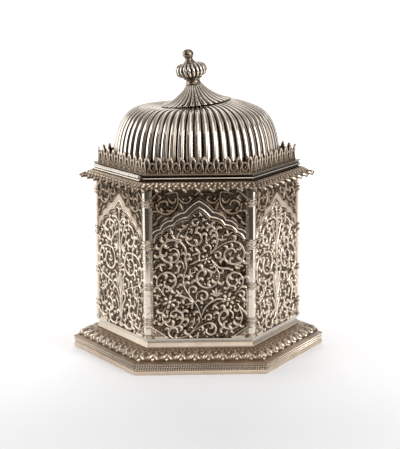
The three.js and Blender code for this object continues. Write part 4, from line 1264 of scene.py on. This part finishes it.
def flutedWedge(name, spec, outer, inner, depths):
    (radius, height), (innerRadius, innerHeight) = outer, inner
    columns, hole = spec["columns"], spec["hole"]
    share = (1 - np.cos(np.linspace(0, math.pi, columns + 1))) / 2
    crest = np.sin(np.linspace(0, math.pi, columns + 1)) ** 0.9
    angle = (share - 0.5) * 2 * math.pi / spec["flutes"]
    slopeR, slopeZ = np.gradient(radius), np.gradient(height)
    size = np.hypot(slopeR, slopeZ) + 1e-9
    normalR, normalZ = slopeZ / size, -slopeR / size
    sunk = depths[:, None] * (1 - crest[None, :])
    outerR = np.maximum(radius[:, None] - sunk * normalR[:, None], hole)
    outerZ = height[:, None] - sunk * normalZ[:, None]
    outerZ[0] = height[0]
    innerR = np.maximum(innerRadius, hole)[:, None] + 0 * crest
    innerZ = innerHeight[:, None] + spec["arch"] * crest * (innerRadius[:, None] / radius.max()) ** 2
    r = np.concatenate([outerR, innerR[::-1]])
    r = r - spec["scallop"] * (1 - crest) ** 2 * np.clip((r - radius.max() + 2) / 2, 0, 1)
    z = np.concatenate([outerZ, innerZ[::-1]])
    points = np.stack([r * np.cos(angle), r * np.sin(angle), z], -1)
    outerLevel = np.repeat(crest[None, :] ** spec["shadow"], len(radius), 0)
    relief = np.concatenate([outerLevel, np.full(innerR.shape, insideLevel)])
    faces = gridFaces(len(r), columns + 1)
    last = (len(r) - 1) * (columns + 1)
    faces += [(i, i + 1, last + i + 1, last + i) for i in range(columns)]
    return plainMesh(name, points.reshape(-1, 3) * mm, faces, relief.reshape(-1))


def leanCrown(mesh, spec):
    points = np.zeros(len(mesh.vertices) * 3)
    mesh.vertices.foreach_get("co", points)
    points = points.reshape(-1, 3)
    radius = np.hypot(points[:, 0], points[:, 1]) / mm
    share = 1 - smoothStep(spec["seat"], spec["reach"], radius)
    points[:, 2] += points[:, 0] * math.tan(math.radians(spec["lean"])) * share
    mesh.vertices.foreach_set("co", points.reshape(-1))


def addDome(spec):
    base = plateTop / mm
    outerR, outerZ = evenRows(spec, spec["radius"], spec["height"], spec["rows"])
    innerRim = spec["radius"] - (spec["depth"] + spec["wall"])
    innerTop = spec["height"] - spec["wall"] - spec["crownDepth"]
    innerR, innerZ = evenRows(spec, innerRim, innerTop, spec["innerRows"])
    share = outerR / spec["radius"]
    depths = spec["crownDepth"] * np.minimum(1, share * 2) + (spec["depth"] - spec["crownDepth"]) * share ** 3
    mesh = flutedWedge("flute", spec, (outerR, outerZ + base), (innerR, innerZ + base), depths)
    whole = repeated("dome", mesh, spec["flutes"], flutedSilver)
    leanCrown(whole, spec)
    addPiece("fluted_dome", whole, flutedSilver, "lid", ["dome"], weld=0.00002)


addDome(dome)

# The finial leans to the left with the crown it stands on, and bends a little further above the spire
finial = {"lean": 8, "pivot": plateTop / mm + dome["height"], "bendFrom": 13, "bend": 0.045, "bore": 1.45}


def leanOver(mesh):
    for vertex in mesh.vertices:
        vertex.co.x -= max(0, vertex.co.z - finial["bendFrom"] * mm) * finial["bend"]
    tilt = Matrix.Rotation(-math.radians(finial["lean"]), 4, "Y")
    mesh.transform(Matrix.Translation((0, 0, finial["pivot"] * mm)) @ tilt)


spire = {
    "outer": [(19.2, 1.3), (14.4, 2.5), (10.3, 4.7), (7.2, 7.2), (5.2, 9.5), (4.3, 10.55)],
    "inner": [(18.9, 0.15), (13.8, 1.2), (9.7, 3.4), (6.6, 6), (4.4, 8.3), (finial["bore"], 10.55)],
    "flutes": 33, "columns": 12, "rows": 30, "innerRows": 14, "hole": finial["bore"], "depth": 1.6, "fade": (3.9, 5),
    "droop": 1.2, "arch": 0.8, "shadow": 2.6, "scallop": 1.8,
}


def droopEdge(mesh, spec):
    rim = spec["outer"][0][0] * mm
    for vertex in mesh.vertices:
        x, y, z = vertex.co
        radius = math.hypot(x, y)
        vertex.co.z = z - spec["droop"] * mm * 0.5 * (1 + x / radius) * (radius / rim) ** 3


def addSpire(spec):
    outer, inner = spline(spec["outer"], spec["rows"]), spline(spec["inner"], spec["innerRows"])
    depths = spec["depth"] * (outer[0] / outer[0][0]) ** 0.8 * smoothStep(*spec["fade"], outer[0])
    mesh = flutedWedge("spireFlute", spec, outer, inner, depths)
    whole = repeated("spire", mesh, spec["flutes"], flutedSilver)
    droopEdge(whole, spec)
    leanOver(whole)
    addPiece("fluted_spire", whole, flutedSilver, "lid", ["spire"], weld=0.00002)


addSpire(spire)

bulb = {
    "outer": [(3, 13.95), (5.3, 14.1), (7.7, 15.3), (8.8, 17.8), (8, 20.4), (5.5, 21.85), (3, 22.05)],
    "flutes": 22, "columns": 10, "rows": 30, "innerRows": 6, "hole": finial["bore"], "depth": 1.3, "fade": (3, 7.5),
    "arch": 0, "shadow": 4, "scallop": 0,
}


def addBulb(spec):
    outer = spline(spec["outer"], spec["rows"])
    innerRows = spec["innerRows"]
    inner = np.full(innerRows, spec["hole"]), np.linspace(outer[1][0], outer[1][-1], innerRows)
    mesh = flutedWedge("bulbLobe", spec, outer, inner, spec["depth"] * smoothStep(*spec["fade"], outer[0]))
    whole = repeated("bulb", mesh, spec["flutes"], flutedSilver)
    leanOver(whole)
    addPiece("lobed_bulb", whole, flutedSilver, "lid", ["finial_bulb"], weld=0.00002)


addBulb(bulb)

# Neck and knob: the line up the outside, and how the bore is closed. A bore without a top goes right through
neck = {
    "outer": [(4.3, 10.65), (3.85, 11.8), (4.1, 13), (5, 13.3), (5, 13.85), (3.4, 13.9)],
    "rows": 36, "boreTop": None, "weld": 0.00001,
}
knob = {
    "outer": [
        (3.2, 22.1), (2.9, 22.7), (2.2, 23.5), (2.15, 24.4), (2.8, 25.4), (3.12, 26.7), (2.7, 28.2), (1.4, 29.15),
        (0.05, 29.42),
    ],
    "rows": 44, "boreTop": 25.3, "weld": 0.0001,
}
turnedLevel = 0.44


def turnedMesh(name, profile, segments=64):
    angle = np.linspace(0, 2 * math.pi, segments, endpoint=False)
    profile = np.asarray(profile, float)
    r, z = profile[:, 0:1], profile[:, 1:2]
    points = np.stack([r * np.cos(angle), r * np.sin(angle), z + 0 * angle], -1) * mm
    rows = len(profile)
    at = np.arange(rows * segments).reshape(rows, segments)
    faces = []
    for i in range(rows):
        j = (i + 1) % rows
        for k in range(segments):
            m = (k + 1) % segments
            faces.append((int(at[i, k]), int(at[i, m]), int(at[j, m]), int(at[j, k])))
    return plainMesh(name, points.reshape(-1, 3), faces, np.full(rows * segments, turnedLevel))


def addTurned(name, node, spec):
    outerR, outerZ = spline(spec["outer"], spec["rows"])
    bore, top = finial["bore"], spec["boreTop"]
    ceiling = [(bore, outerZ[-1])] if top is None else [(0.02, top), (bore, top)]
    mesh = turnedMesh(name, list(zip(outerR, outerZ)) + ceiling + [(bore, outerZ[0])])
    leanOver(mesh)
    addPiece(name, mesh, flutedSilver, "lid", [node], weld=spec["weld"])


addTurned("turned_neck", "finial_neck", neck)
addTurned("knob_bud", "finial_knob", knob)
print("finial done")


# CAD nodes that keep their own shape
keptFinishes = {
    "foot_rim": footRimSilver, "plinth_step": footStepSilver, "base_plate": insideSilver,
    "body_rim": bodyRimShadedSilver, "mouth_bezel": insideSilver, "hinge_leaf_body": brightSilver,
    "hinge_leaf_lid": brightSilver, "hinge_pin": brightSilver, "lid_rim": lidRimShadedSilver,
    "lid_plate": insideSilver, "finial_rod": insideSilver, "finial_washer": insideSilver, "finial_nut": insideSilver,
}
for nodeName, material in keptFinishes.items():
    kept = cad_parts[nodeName]
    kept.data.materials.clear()
    kept.data.materials.append(material)
print("kept nodes finished")
